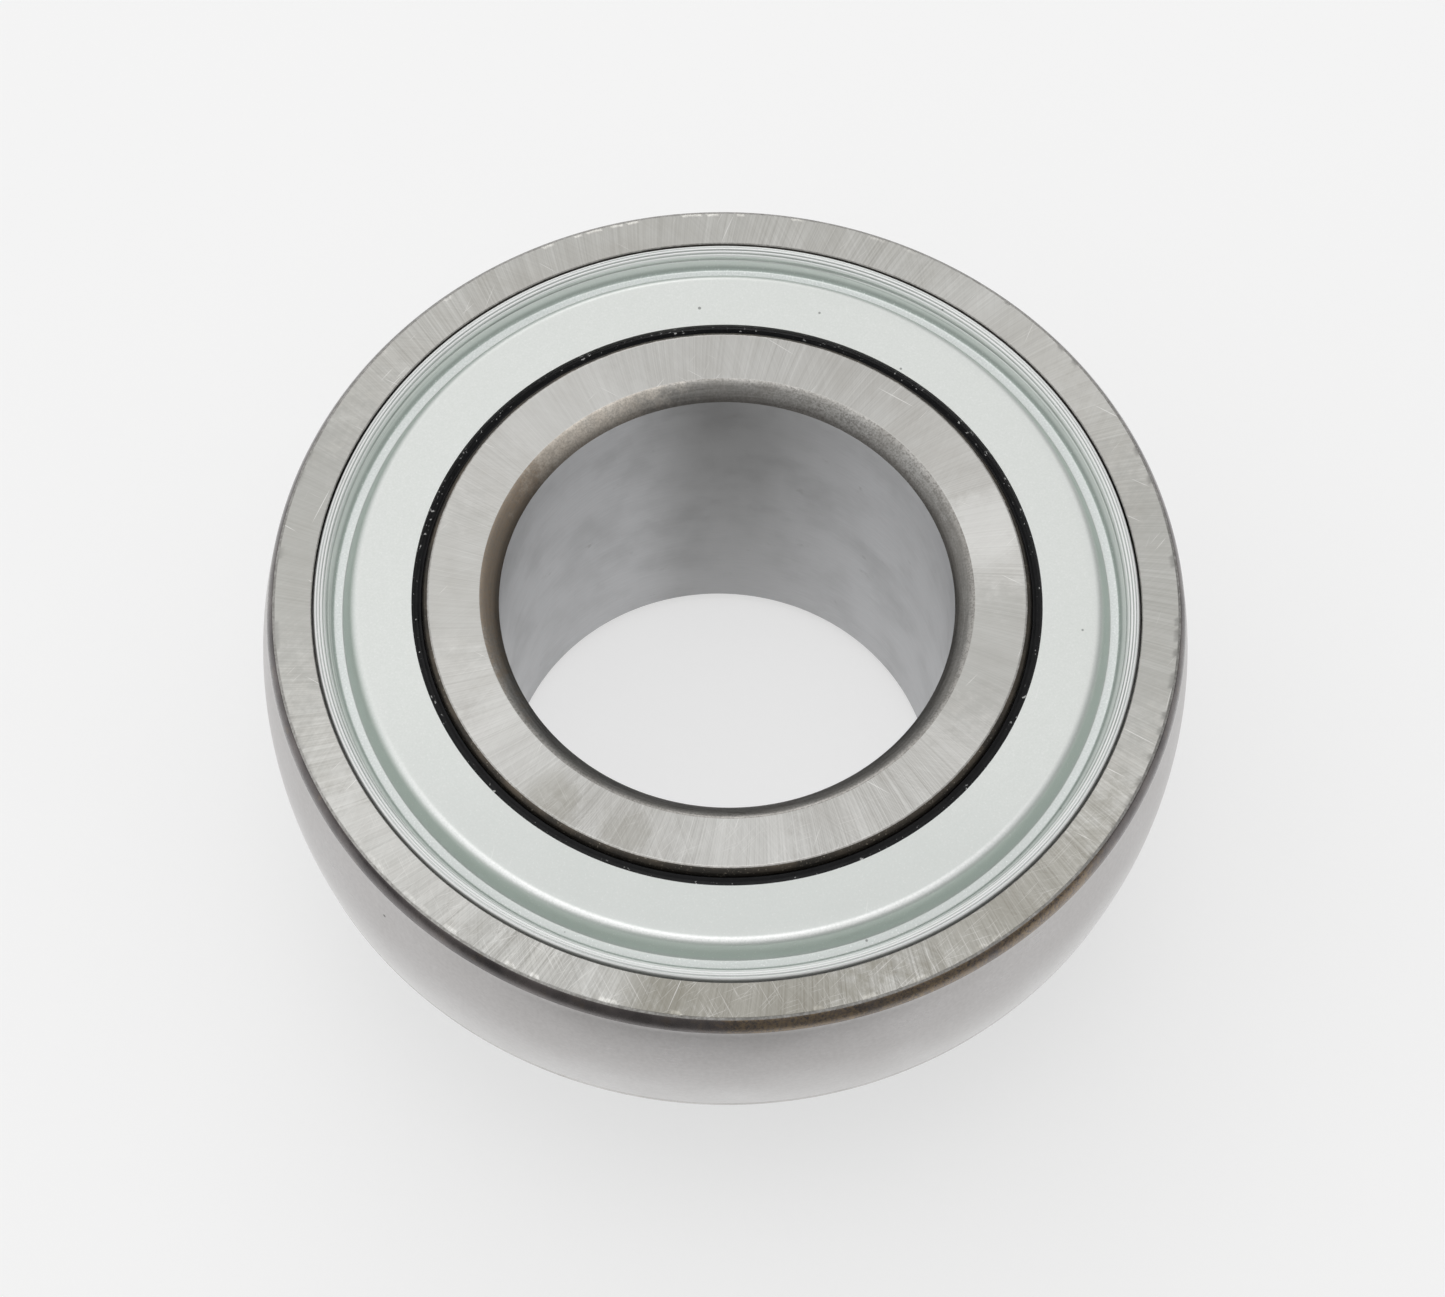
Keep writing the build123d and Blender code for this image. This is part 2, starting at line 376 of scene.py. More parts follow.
def mottle_group():
    """Soft uneven patches, as stains and oxide grow."""
    tree, take, give = new_group("mottle", "ShaderNodeTree", [
        ("Point", "Vector", None), ("Size mm", "Float", 6.0), ("From", "Float", 0.45), ("To", "Float", 0.7),
        ("Seed", "Float", 0.0),
    ], [("Patches", "Float")])
    scale = maths(tree, "DIVIDE", 1 / MM, take["Size mm"])
    noise = seeded_noise(tree, {
        "Vector": take["Point"], "Scale": scale, "Detail": 5.0, "Roughness": 0.6, "W": take["Seed"],
    })
    tree.links.new(remap(tree, noise, take["From"], take["To"], smooth=True), give["Patches"])
    return tree


def specks_group():
    """Small separate dots: dirt, pits, crystals, and the rubber's painted glints. Share is how many of the
    cells hold one.
    """
    tree, take, give = new_group("specks", "ShaderNodeTree", [
        ("Point", "Vector", None), ("Spacing mm", "Float", 1.5), ("Size", "Float", 0.12),
        ("Share", "Float", 0.2),
    ], [("Specks", "Float")])
    cells = add(tree, "ShaderNodeTexVoronoi", {
        "Vector": take["Point"], "Scale": maths(tree, "DIVIDE", 1 / MM, take["Spacing mm"]),
    }, feature="F1").outputs
    pick = add(tree, "ShaderNodeSeparateColor", {0: cells["Color"]}).outputs
    chosen = maths(tree, "LESS_THAN", pick["Red"], take["Share"])
    size = maths(tree, "MULTIPLY", take["Size"], maths(tree, "ADD", 0.35, pick["Green"]))
    dot = remap(tree, cells["Distance"], maths(tree, "MULTIPLY", size, 0.6), size, 1.0, 0.0, smooth=True)
    tree.links.new(maths(tree, "MULTIPLY", dot, chosen), give["Specks"])
    return tree


def spot_of_wear_and_painted_light_group():
    """One ragged spot on one side of a ring, around Centre (in millimetres): wear and stains, and also
    painted shade and painted highlights.
    """
    tree, take, give = new_group("worn_spot", "ShaderNodeTree", [
        ("Point", "Vector", None), ("Centre", "Vector", None), ("Size mm", "Float", 4.0),
        ("Seed", "Float", 0.0),
    ], [("Spot", "Float")])
    place = scaled(tree, take["Point"], 1 / MM)
    away = add(tree, "ShaderNodeVectorMath", {0: place, 1: take["Centre"]}, operation="DISTANCE")
    away = maths(tree, "DIVIDE", away.outputs["Value"], take["Size mm"])
    ragged = seeded_noise(tree, {
        "Vector": place, "Scale": 0.9, "Detail": 5.0, "Roughness": 0.7, "W": take["Seed"],
    })
    away = maths(tree, "ADD", away, maths(tree, "MULTIPLY", maths(tree, "SUBTRACT", ragged, 0.5), 1.6))
    tree.links.new(remap(tree, away, 0.35, 1.0, 1.0, 0.0, smooth=True), give["Spot"])
    return tree


def grain_group():
    """Fine even grain."""
    tree, take, give = new_group("grain", "ShaderNodeTree", [
        ("Point", "Vector", None), ("Size mm", "Float", 0.2), ("Seed", "Float", 0.0),
    ], [("Grain", "Float")])
    scale = maths(tree, "DIVIDE", 1 / MM, take["Size mm"])
    noise = seeded_noise(tree, {
        "Vector": take["Point"], "Scale": scale, "Detail": 3.0, "Roughness": 0.6, "W": take["Seed"],
    })
    tree.links.new(noise, give["Grain"])
    return tree


EFFECTS = {
    "wheel_marks": wheel_marks_group(),
    "round_marks": round_marks_group(),
    "stray_scratches": stray_scratches_group(),
    "mottle": mottle_group(),
    "specks": specks_group(),
    "worn_spot": spot_of_wear_and_painted_light_group(),
    "grain": grain_group(),
}


# ---------------------------------------------------------------- finishes

class Finish:
    """A material under way: its nodes, its shader and the point on the piece."""

    def __init__(self, name, **sockets):
        self.material = bpy.data.materials.new(name)
        self.material.use_nodes = True
        self.tree = self.material.node_tree
        self.shader = self.tree.nodes["Principled BSDF"]
        self.point = add(self.tree, "ShaderNodeTexCoord").outputs["Object"]
        for label, value in sockets.items():
            self.shader.inputs[label.replace("_", " ")].default_value = value

    def effect(self, name, **values):
        node = self.tree.nodes.new("ShaderNodeGroup")
        node.node_tree = EFFECTS[name]
        node.label = name
        self.tree.links.new(self.point, node.inputs["Point"])
        for label, value in values.items():
            node.inputs[label.replace("_", " ")].default_value = value
        return node.outputs[0]

    def maths(self, operation, first, second=0.0, third=0.0):
        return maths(self.tree, operation, first, second, third)

    def remap(self, value, low, high, to_low=0.0, to_high=1.0, smooth=False):
        return remap(self.tree, value, low, high, to_low, to_high, smooth)

    def radius(self):
        """The distance from the shaft axis, in millimetres."""
        return polar(self.tree, self.point)[0]

    def height(self):
        """The place along the shaft, in millimetres."""
        return polar(self.tree, self.point)[2]

    def both(self, first, second):
        """Where two masks meet, or a mask at a share of its strength."""
        return self.maths("MULTIPLY", first, second)

    def cover(self, under, mask, share, over):
        """Lays one colour over another, where the mask is, at a share of its strength."""
        return self.mix(self.both(mask, share), under, over)

    def most(self, *masks):
        """The largest of several masks."""
        found = masks[0]
        for mask in masks[1:]:
            found = self.maths("MAXIMUM", found, mask)
        return found

    def blend(self, *parts):
        """A weighted sum: each part is (value, weight)."""
        total = self.maths("MULTIPLY", *parts[0])
        for value, weight in parts[1:]:
            total = self.maths("MULTIPLY_ADD", value, weight, total)
        return total

    def mix(self, mask, first, second):
        """Colour first where the mask is 0, and second where it is 1."""
        values = {"Factor": mask}
        for key, colour in (("A", first), ("B", second)):
            values[key] = colour if isinstance(colour, bpy.types.NodeSocket) else (*colour, 1)
        return add(self.tree, "ShaderNodeMix", values, data_type="RGBA").outputs["Result"]

    def colour(self, value):
        self.tree.links.new(value, self.shader.inputs["Base Color"])

    def roughness(self, value):
        self.tree.links.new(value, self.shader.inputs["Roughness"])

    def metallic(self, value):
        self.tree.links.new(value, self.shader.inputs["Metallic"])

    def relief(self, height, depth_mm, strength=1.0):
        node = add(self.tree, "ShaderNodeBump", {
            "Height": height, "Distance": depth_mm * MM, "Strength": strength,
        })
        self.tree.links.new(node.outputs["Normal"], self.shader.inputs["Normal"])

    def lay(self, direction):
        """The way in which highlights stretch: around the shaft, or along it."""
        if direction == "around":
            way = vector_maths(self.tree, "CROSS_PRODUCT", (0, 0, 1), self.point)
            way = vector_maths(self.tree, "NORMALIZE", way)
        else:
            way = combine(self.tree, 0.0, 0.0, 1.0)
        world = add(self.tree, "ShaderNodeVectorTransform", {0: way}, vector_type="VECTOR",
                    convert_from="OBJECT", convert_to="WORLD").outputs[0]
        self.tree.links.new(world, self.shader.inputs["Tangent"])


MARKS_MIDDLE = 0.49                # the grey level that grinding marks lie around
CROSSING_SCRATCHES = (             # angle, length, width, share, added to the seed
    (1.1, 4.0, 0.09, 0.18, 8), (-0.4, 3.0, 0.08, 0.17, 9), (2.3, 4.0, 0.09, 0.18, 10),
)
LONG_SCRATCHES = (
    (0.5, 5.0, 0.13, 0.085, 0), (-0.9, 4.0, 0.11, 0.085, 1), (1.9, 7.0, 0.12, 0.075, 2),
)
# Spot colours for the ring faces: a brown stain that also serves as painted shade, a painted shade, and a
# painted highlight.
STAIN_AND_PAINTED_SHADE = (0.30, 0.283, 0.235)
PAINTED_SHADE = (0.36, 0.36, 0.34)
PAINTED_HIGHLIGHT = (0.74, 0.74, 0.72)


def grinding_marks(f, swirl, contrast, handled, seed):
    """The cup wheel's marks: all of them together, and the fine and the crossing ones alone."""
    fine = f.effect("wheel_marks", Lines=1500.0, Breaks=0.07, Swirl=swirl, Seed=seed)
    cross = f.effect("wheel_marks", Lines=900.0, Breaks=0.09, Swirl=-4.0 * swirl, Seed=seed + 3)
    broad = f.effect("wheel_marks", Lines=110.0, Breaks=0.04, Swirl=0.4 * swirl, Seed=seed + 5)
    rubbed = f.effect("mottle", Size_mm=14.0, From=0.38, To=0.66, Seed=seed + 6)
    marks = f.blend((fine, 0.54), (cross, 0.20), (broad, 0.16), (0.5, 0.10))
    depth = f.both(f.remap(rubbed, 0.0, 1.0, 0.7 * contrast, 1.2 * contrast),
                   f.remap(handled, 0.0, 1.0, 0.62, 1.25))
    marks = f.maths("MULTIPLY_ADD", f.maths("SUBTRACT", marks, MARKS_MIDDLE), depth, MARKS_MIDDLE)
    return marks, fine, cross


def handling_scratches(f, handled, seed):
    """Scratches in several directions, and short crossing ones where the ring was handled."""
    crossed = [
        f.effect("stray_scratches", Angle=angle, Length_mm=long, Width_mm=wide, Share=share, Seed=seed + salt)
        for angle, long, wide, share, salt in CROSSING_SCRATCHES
    ]
    longer = [
        f.effect("stray_scratches", Angle=angle, Length_mm=long, Width_mm=wide, Share=share, Seed=seed + salt)
        for angle, long, wide, share, salt in LONG_SCRATCHES
    ]
    return f.most(f.both(f.most(*crossed), f.both(handled, 0.6)), *longer)


def ground_face(name, steel, shadow, swirl, contrast, seed, spots=()):
    """A ring's flat side, ground by a cup wheel, with crossing marks, stains and handling scratches.

    The marks are deepest on the side that was handled most, towards -Y. spots: (centre, size, depth, colour);
    they lay stains, painted shade and painted highlights on the face.
    """
    f = Finish(name, Metallic=1.0, Anisotropic=0.75)
    handled = f.remap(parts_of(f.tree, f.point)["Y"], -0.008, -0.030)
    marks, fine, cross = grinding_marks(f, swirl, contrast, handled, seed)
    scratches = handling_scratches(f, handled, seed)
    stains = f.effect("mottle", Size_mm=9.0, From=0.46, To=0.72, Seed=seed)
    clouds = f.effect("mottle", Size_mm=2.6, From=0.35, To=0.75, Seed=seed + 4)
    dark = [s * d for s, d in zip(steel, (0.72, 0.71, 0.69))]
    light = [min(1.0, s * 1.24) for s in steel]
    colour = f.mix(f.remap(marks, 0.37, 0.61), dark, light)
    colour = f.cover(colour, clouds, 0.14, shadow)
    colour = f.cover(colour, stains, 0.22, shadow)
    # The spots lay stains, painted shade and painted highlights over the face.
    for centre, size, depth, tone in spots:
        spot = f.effect("worn_spot", Centre=centre, Size_mm=size, Seed=seed)
        colour = f.cover(colour, spot, depth, tone)
    f.colour(f.cover(colour, scratches, 0.5, (0.93, 0.92, 0.90)))
    rough = f.remap(marks, 0.3, 0.7, 0.42, 0.30)
    f.roughness(f.maths("MULTIPLY_ADD", stains, 0.06, rough))
    f.relief(f.blend((fine, 0.6), (cross, 0.4), (scratches, -0.8)), 0.004, 0.5)
    f.lay("around")
    return f.material


def corner_scale(name, dark, light, seed, bright_spots=()):
    """The unground outside corner: oiled furnace scale, rubbed golden brown in places."""
    f = Finish(name, Coat_Weight=0.5, Coat_Roughness=0.1)
    tone = f.effect("mottle", Size_mm=3.0, From=0.3, To=0.7, Seed=seed)
    grit = f.effect("grain", Size_mm=0.22, Seed=seed)
    colour = f.mix(tone, dark, light)
    rubbed = f.effect("mottle", Size_mm=1.3, From=0.56, To=0.72, Seed=seed + 1)
    for centre, size in bright_spots:
        spot = f.effect("worn_spot", Centre=centre, Size_mm=size, Seed=seed + 2)
        patch = f.both(spot, f.remap(grit, 0.35, 0.6))
        colour = f.cover(colour, patch, 0.75, (0.36, 0.26, 0.15))
        rubbed = f.maths("MULTIPLY_ADD", spot, 0.35, rubbed)
    colour = f.cover(colour, rubbed, 0.35, (0.24, 0.19, 0.14))
    f.colour(colour)
    f.metallic(f.remap(rubbed, 0.0, 1.0, 0.85, 1.0))
    f.roughness(f.remap(grit, 0.3, 0.7, 0.24, 0.38))
    f.relief(f.blend((grit, 0.7), (tone, 0.5)), 0.03, 0.5)
    return f.material


def sphere_finish():
    """The superfinished spherical seat: fine lines, faint clouds, a few specks, painted shade above and
    painted light below.
    """
    f = Finish("superfinished_sphere", Metallic=1.0, Anisotropic=0.5)
    lines = f.effect("round_marks", Lines_per_mm=9.0, Breaks=14.0)
    clouds = f.effect("mottle", Size_mm=7.0, From=0.35, To=0.7)
    grit = f.effect("grain", Size_mm=0.35)
    dirt = f.effect("specks", Spacing_mm=5.0, Size=0.035, Share=0.35)
    # Painted shade and light: the colour is darker on the upper part and lighter on the lower part, which
    # faces the bright table.
    upper = f.mix(f.remap(grit, 0.3, 0.7), (0.49, 0.475, 0.47), (0.56, 0.545, 0.54))
    lower = f.mix(f.remap(grit, 0.3, 0.7), (0.69, 0.68, 0.675), (0.76, 0.75, 0.745))
    tint = f.mix(f.remap(f.height(), 3.0, -6.5, smooth=True), upper, lower)
    tint = f.cover(tint, clouds, 0.18, (0.56, 0.54, 0.52))
    f.colour(f.cover(tint, dirt, 0.8, (0.05, 0.045, 0.04)))
    f.roughness(f.blend((lines, 0.06), (clouds, 0.05), (1.0, 0.25)))
    f.relief(f.blend((grit, 0.6), (clouds, 0.4)), 0.0010, 0.3)
    f.lay("along")
    return f.material


def ground_cylinder(name, painted_shade_depth):
    """A ground cylinder: marks around it that stretch highlights along the shaft, and faint smudges.

    A band of painted shade darkens one side, as deep as the depth given, and thins out downwards.
    """
    f = Finish(name, Metallic=1.0, Anisotropic=0.85)
    _, around, z = polar(f.tree, f.point)
    side = parts_of(f.tree, around)["X"]
    # Painted shade: a darker band down one side, fading downwards.
    film = f.both(f.remap(side, -0.52, -0.12, smooth=True),
                  f.remap(side, 0.72, 0.0, smooth=True))
    film = f.both(film, f.remap(z, -LONG_SIDE, 4.0, 0.5, 1.0))
    lines = f.effect("round_marks", Lines_per_mm=7.0, Breaks=9.0, Seed=4.0)
    clouds = f.effect("mottle", Size_mm=5.0, From=0.4, To=0.75, Seed=4.0)
    smudges = f.effect("mottle", Size_mm=1.8, From=0.64, To=0.76, Seed=6.0)
    tint = f.mix(f.remap(lines, 0.3, 0.7), (0.555, 0.558, 0.567), (0.615, 0.618, 0.627))
    tint = f.cover(tint, clouds, 0.22, (0.42, 0.42, 0.41))
    tint = f.cover(tint, film, painted_shade_depth, (0.25, 0.248, 0.245))
    f.colour(f.cover(tint, smudges, 0.35, (0.25, 0.24, 0.23)))
    f.roughness(f.blend((lines, 0.08), (clouds, 0.08), (1.0, 0.34)))
    f.relief(lines, 0.003, 0.5)
    f.lay("along")
    return f.material


def bore_corner_finish():
    """The bore's rounded corner, turned before hardening: bronze on one side, painted silvery highlights on
    the other, painted shade inside.
    """
    f = Finish("bore_corner_scale")
    grit = f.effect("grain", Size_mm=0.15, Seed=2.0)
    turned = f.effect("round_marks", Lines_per_mm=4.0, Breaks=5.0, Seed=2.0)
    # Painted highlights: a silvery patch and a cream patch on the corner.
    silver_painted_highlight = f.effect("worn_spot", Centre=(11.0, 15.0, SHORT_SIDE), Size_mm=13.0, Seed=3.0)
    cream_painted_highlight = f.effect("worn_spot", Centre=(-11.5, 15.0, SHORT_SIDE), Size_mm=9.0, Seed=5.0)
    tone = f.effect("mottle", Size_mm=4.0, From=0.3, To=0.7, Seed=2.0)
    bronze = f.effect("worn_spot", Centre=(-17.0, 5.0, SHORT_SIDE), Size_mm=17.0, Seed=2.0)
    marks = f.blend((grit, 0.45), (turned, 0.55))
    # Painted highlight along the corner's edge with the face.
    bead_painted_highlight = f.remap(f.height(), SHORT_SIDE - 0.30, SHORT_SIDE - 0.05, smooth=True)
    tint = f.mix(f.remap(marks, 0.36, 0.64), (0.19, 0.185, 0.175), (0.34, 0.335, 0.32))
    tint = f.cover(tint, bead_painted_highlight, f.remap(grit, 0.4, 0.6, 0.15, 0.6), (0.58, 0.56, 0.53))
    tint = f.cover(tint, silver_painted_highlight, f.remap(grit, 0.40, 0.62, 0.0, 0.35), (0.60, 0.595, 0.58))
    tint = f.cover(tint, bronze, f.remap(grit, 0.4, 0.6, 0.5, 0.8), (0.31, 0.23, 0.155))
    tint = f.cover(tint, cream_painted_highlight, f.remap(grit, 0.38, 0.62, 0.45, 0.85), (0.78, 0.72, 0.64))
    tint = f.cover(tint, tone, 0.35, (0.16, 0.145, 0.125))
    # Painted shade: darker towards the bore.
    inside = f.remap(f.height(), SHORT_SIDE - 0.5, SHORT_SIDE - MOUTH[1] + 0.05, smooth=True)
    f.colour(f.cover(tint, inside, 0.5, (0.09, 0.08, 0.07)))
    f.metallic(f.remap(tone, 0.0, 1.0, 1.0, 0.85))
    f.roughness(f.remap(marks, 0.3, 0.7, 0.28, 0.40))
    f.relief(marks, 0.012, 0.5)
    return f.material


def shoulder_finish():
    """The inner ring's outside corner: brown scale with bare bronze flecks."""
    f = Finish("shoulder_scale")
    grit = f.effect("grain", Size_mm=0.18, Seed=7.0)
    tone = f.effect("mottle", Size_mm=2.5, From=0.35, To=0.7, Seed=7.0)
    tint = f.mix(tone, (0.055, 0.050, 0.044), (0.13, 0.11, 0.088))
    f.colour(f.mix(f.remap(grit, 0.60, 0.74), tint, (0.42, 0.38, 0.31)))
    f.metallic(f.remap(tone, 0.0, 1.0, 0.8, 1.0))
    f.roughness(f.remap(grit, 0.3, 0.7, 0.28, 0.42))
    f.relief(grit, 0.015, 0.5)
    return f.material


def bright_edge_finish():
    """Bare steel on a freshly ground edge."""
    f = Finish("bright_edge", Metallic=1.0)
    grit = f.effect("grain", Size_mm=0.25, Seed=9.0)
    f.colour(f.mix(f.remap(grit, 0.40, 0.68), (0.34, 0.33, 0.31), (0.56, 0.55, 0.53)))
    f.roughness(f.remap(grit, 0.3, 0.7, 0.28, 0.45))
    f.relief(grit, 0.02, 0.6)
    return f.material


def raceway_finish():
    """The honed raceways, with a film of grease."""
    f = Finish("honed_raceway", Metallic=1.0, Coat_Weight=0.3, Coat_Roughness=0.15)
    lines = f.effect("round_marks", Lines_per_mm=12.0, Breaks=20.0, Seed=11.0)
    film = f.effect("mottle", Size_mm=3.0, From=0.4, To=0.7, Seed=11.0)
    tint = f.mix(f.remap(lines, 0.3, 0.7), (0.60, 0.60, 0.60), (0.70, 0.70, 0.70))
    f.colour(f.cover(tint, film, 0.3, (0.45, 0.38, 0.24)))
    f.roughness(f.remap(lines, 0.3, 0.7, 0.08, 0.16))
    f.relief(lines, 0.001, 0.4)
    return f.material


def recess_finish():
    """Turned and hardened steel that was never ground: grey-brown, with tool marks around it."""
    f = Finish("turned_recess")
    lines = f.effect("round_marks", Lines_per_mm=5.0, Breaks=3.0, Seed=13.0)
    tone = f.effect("mottle", Size_mm=2.0, From=0.35, To=0.7, Seed=13.0)
    tint = f.mix(f.remap(lines, 0.3, 0.7), (0.20, 0.19, 0.17), (0.36, 0.345, 0.32))
    f.colour(f.cover(tint, tone, 0.4, (0.16, 0.135, 0.105)))
    f.metallic(f.remap(tone, 0.0, 1.0, 0.95, 0.75))
    f.roughness(f.remap(lines, 0.3, 0.7, 0.35, 0.5))
    f.relief(lines, 0.012, 0.6)
    return f.material


def zinc_bends(f, radius):
    """Masks by radius: the wall's bend, the crease at its foot (painted shade), the rim's slope (painted
    light) and the flat's shoulder (painted highlight).
    """
    bend = f.both(f.remap(radius, 28.3, 28.95, smooth=True), f.remap(radius, 29.5, 29.35))
    crease = f.both(f.remap(radius, 30.1, 30.3, smooth=True), f.remap(radius, 30.5, 30.35))
    slope = f.remap(radius, 30.3, 30.45)
    shoulder = f.both(f.remap(radius, 28.15, 28.42, smooth=True), f.remap(radius, 28.85, 28.62))
    return bend, crease, slope, shoulder


def rolled_lines(f, radius):
    """Masks for the lines that the rolling tool left on the rim's slope: their crests, painted as highlights,
    and their grooves, painted as shade.
    """
    turns = f.maths("DIVIDE", f.maths("SUBTRACT", radius, RIDGES[0]), RIDGE_PITCH)
    wave = f.maths("COSINE", f.both(turns, TURN))
    crests = f.both(f.remap(wave, 0.1, -0.75), f.remap(radius, 30.72, 30.80))
    grooves = f.both(f.remap(wave, 0.25, 0.95), f.remap(radius, 30.55, 30.6))
    return crests, grooves


def zinc_finish(name, pale, deep, sparkle, seed):
    """Zinc plate: satin crystals, dark specks, a green cast in the bends (thick film and painted reflection),
    painted shade and highlights.
    """
    f = Finish(name)
    radius = f.radius()
    bend, crease, slope, shoulder = zinc_bends(f, radius)
    crests, grooves = rolled_lines(f, radius)
    near = f.remap(parts_of(f.tree, f.point)["Y"], -0.008, -0.027, smooth=True)
    crystals = f.effect("grain", Size_mm=0.16, Seed=seed)
    clouds = f.effect("mottle", Size_mm=5.0, From=0.3, To=0.75, Seed=seed)
    rolled = f.effect("round_marks", Lines_per_mm=2.2, Breaks=1.5, Seed=seed)
    drawn = f.effect("round_marks", Lines_per_mm=5.0, Breaks=2.0, Seed=seed + 1)
    dirt = f.effect("specks", Spacing_mm=1.6, Size=0.075, Share=0.10)
    smears = f.effect("stray_scratches", Angle=0.8 + seed, Length_mm=3.0, Width_mm=0.16,
                      Share=0.07, Seed=seed)
    # Painted highlight on the flat's shoulder, strongest on the near side (-Y).
    shine = f.both(f.remap(near, 0.0, 1.0, 0.1, 1.0), f.remap(crystals, 0.35, 0.6, 0.55, 0.95))
    lines = f.both(f.remap(drawn, 0.56, 0.66), slope)
    # Painted shade in the rolled grooves, weaker on the near side.
    grooves = f.both(grooves, f.remap(near, 0.0, 1.0, 1.0, 0.25))
    tint = f.mix(f.remap(crystals, 0.3, 0.72), deep, pale)
    tint = f.cover(tint, clouds, 0.18, deep)
    # Painted shade over the near side (-Y) of the sheet.
    tint = f.cover(tint, near, 0.5, (0.59, 0.615, 0.60))
    # The green cast in the bend is partly a thick film and partly a painted reflection.
    tint = f.cover(tint, bend, 0.85, (0.65, 0.72, 0.67))
    tint = f.cover(tint, shoulder, shine, (0.97, 0.98, 0.97))
    # Painted shade in the crease and painted light on the rim's slope.
    tint = f.cover(tint, crease, 0.6, (0.36, 0.40, 0.38))
    tint = f.cover(tint, slope, 0.5, (0.92, 0.95, 0.93))
    tint = f.cover(tint, lines, 0.6, (0.40, 0.43, 0.41))
    # Painted highlights on the rolled crests and painted shade in their grooves.
    tint = f.cover(tint, crests, f.remap(rolled, 0.35, 0.6, 0.5, 1.0), (1.0, 1.0, 1.0))
    tint = f.cover(tint, grooves, f.remap(drawn, 0.4, 0.6, 0.35, 0.75), (0.27, 0.29, 0.28))
    tint = f.cover(tint, f.remap(crystals, 0.60, 0.68), sparkle, (0.93, 0.95, 0.94))
    tint = f.cover(tint, smears, 0.25, (0.90, 0.91, 0.90))
    f.colour(f.cover(tint, dirt, 0.7, (0.14, 0.15, 0.14)))
    # The slope and the crests are also less metallic, which makes them paler.
    f.metallic(f.blend((crests, -0.4), (slope, -0.3), (1.0, 0.92)))
    f.roughness(f.blend((crystals, -0.16 * sparkle), (clouds, 0.05), (rolled, 0.04), (1.0, 0.40)))
    f.relief(f.blend((crystals, 1.0), (rolled, 0.5)), 0.010, 0.35 + 0.4 * sparkle)
    return f.material


def rubber_finish():
    """Moulded nitrile: black, wiped with grease in places, with painted pale glints in specks and in dashes
    near the lip's outer border.
    """
    f = Finish("nitrile_rubber", Metallic=0.0, Specular_IOR_Level=0.2, Coat_Weight=0.06, Coat_Roughness=0.06)
    grit = f.effect("grain", Size_mm=0.12, Seed=17.0)
    wiped = f.effect("mottle", Size_mm=2.2, From=0.4, To=0.65, Seed=17.0)
    # Painted glints: pale specks all over, and pale dashes around the lip near its outer border.
    flecks = f.effect("specks", Spacing_mm=0.8, Size=0.13, Share=0.06)
    painted_glint_dashes = f.effect("round_marks", Lines_per_mm=5.0, Breaks=70.0, Seed=3.0)
    painted_glint_dashes = f.both(f.remap(painted_glint_dashes, 0.64, 0.68), f.remap(f.radius(), 23.72, 23.9))
    tint = f.mix(f.remap(grit, 0.3, 0.7), (0.004, 0.004, 0.005), (0.011, 0.011, 0.012))
    f.colour(f.cover(tint, f.most(flecks, painted_glint_dashes), 0.8, (0.75, 0.75, 0.74)))
    f.roughness(f.remap(wiped, 0.0, 1.0, 0.46, 0.24))
    f.relief(grit, 0.02, 0.5)
    return f.material


def ball_finish():
    """Lapped ball steel with a light film of grease."""
    f = Finish("lapped_ball", Metallic=1.0, Coat_Weight=0.4, Coat_Roughness=0.1)
    film = f.effect("mottle", Size_mm=2.5, From=0.42, To=0.7, Seed=19.0)
    grit = f.effect("grain", Size_mm=0.3, Seed=19.0)
    tint = f.mix(f.remap(grit, 0.3, 0.7), (0.70, 0.70, 0.71), (0.78, 0.78, 0.79))
    f.colour(f.cover(tint, film, 0.25, (0.52, 0.45, 0.30)))
    f.roughness(f.remap(film, 0.0, 1.0, 0.05, 0.14))
    f.relief(grit, 0.0008, 0.3)
    return f.material


def cage_finish():
    """Pressed and tumbled sheet steel: grey, slightly dimpled, with rubbed pockets."""
    f = Finish("tumbled_sheet", Metallic=1.0)
    dimples = f.effect("grain", Size_mm=0.5, Seed=23.0)
    tone = f.effect("mottle", Size_mm=3.0, From=0.35, To=0.7, Seed=23.0)
    nicks = f.effect("specks", Spacing_mm=0.8, Size=0.16, Share=0.25)
    tint = f.mix(f.remap(dimples, 0.3, 0.7), (0.36, 0.355, 0.34), (0.50, 0.49, 0.47))
    tint = f.cover(tint, tone, 0.35, (0.30, 0.27, 0.22))
    f.colour(f.cover(tint, nicks, 0.5, (0.66, 0.65, 0.63)))
    f.roughness(f.remap(dimples, 0.3, 0.7, 0.42, 0.28))
    f.relief(f.blend((dimples, 1.0), (nicks, -0.6)), 0.03, 0.5)
    return f.material


def rivet_finish():
    """Bright wire steel with closing marks on the heads."""
    f = Finish("bright_wire", Metallic=1.0)
    grit = f.effect("grain", Size_mm=0.22, Seed=29.0)
    tone = f.effect("mottle", Size_mm=1.5, From=0.4, To=0.7, Seed=29.0)
    tint = f.mix(f.remap(grit, 0.3, 0.7), (0.50, 0.49, 0.48), (0.64, 0.63, 0.62))
    f.colour(f.cover(tint, tone, 0.3, (0.36, 0.32, 0.27)))
    f.roughness(f.remap(grit, 0.3, 0.7, 0.22, 0.36))
    f.relief(grit, 0.012, 0.5)
    return f.material


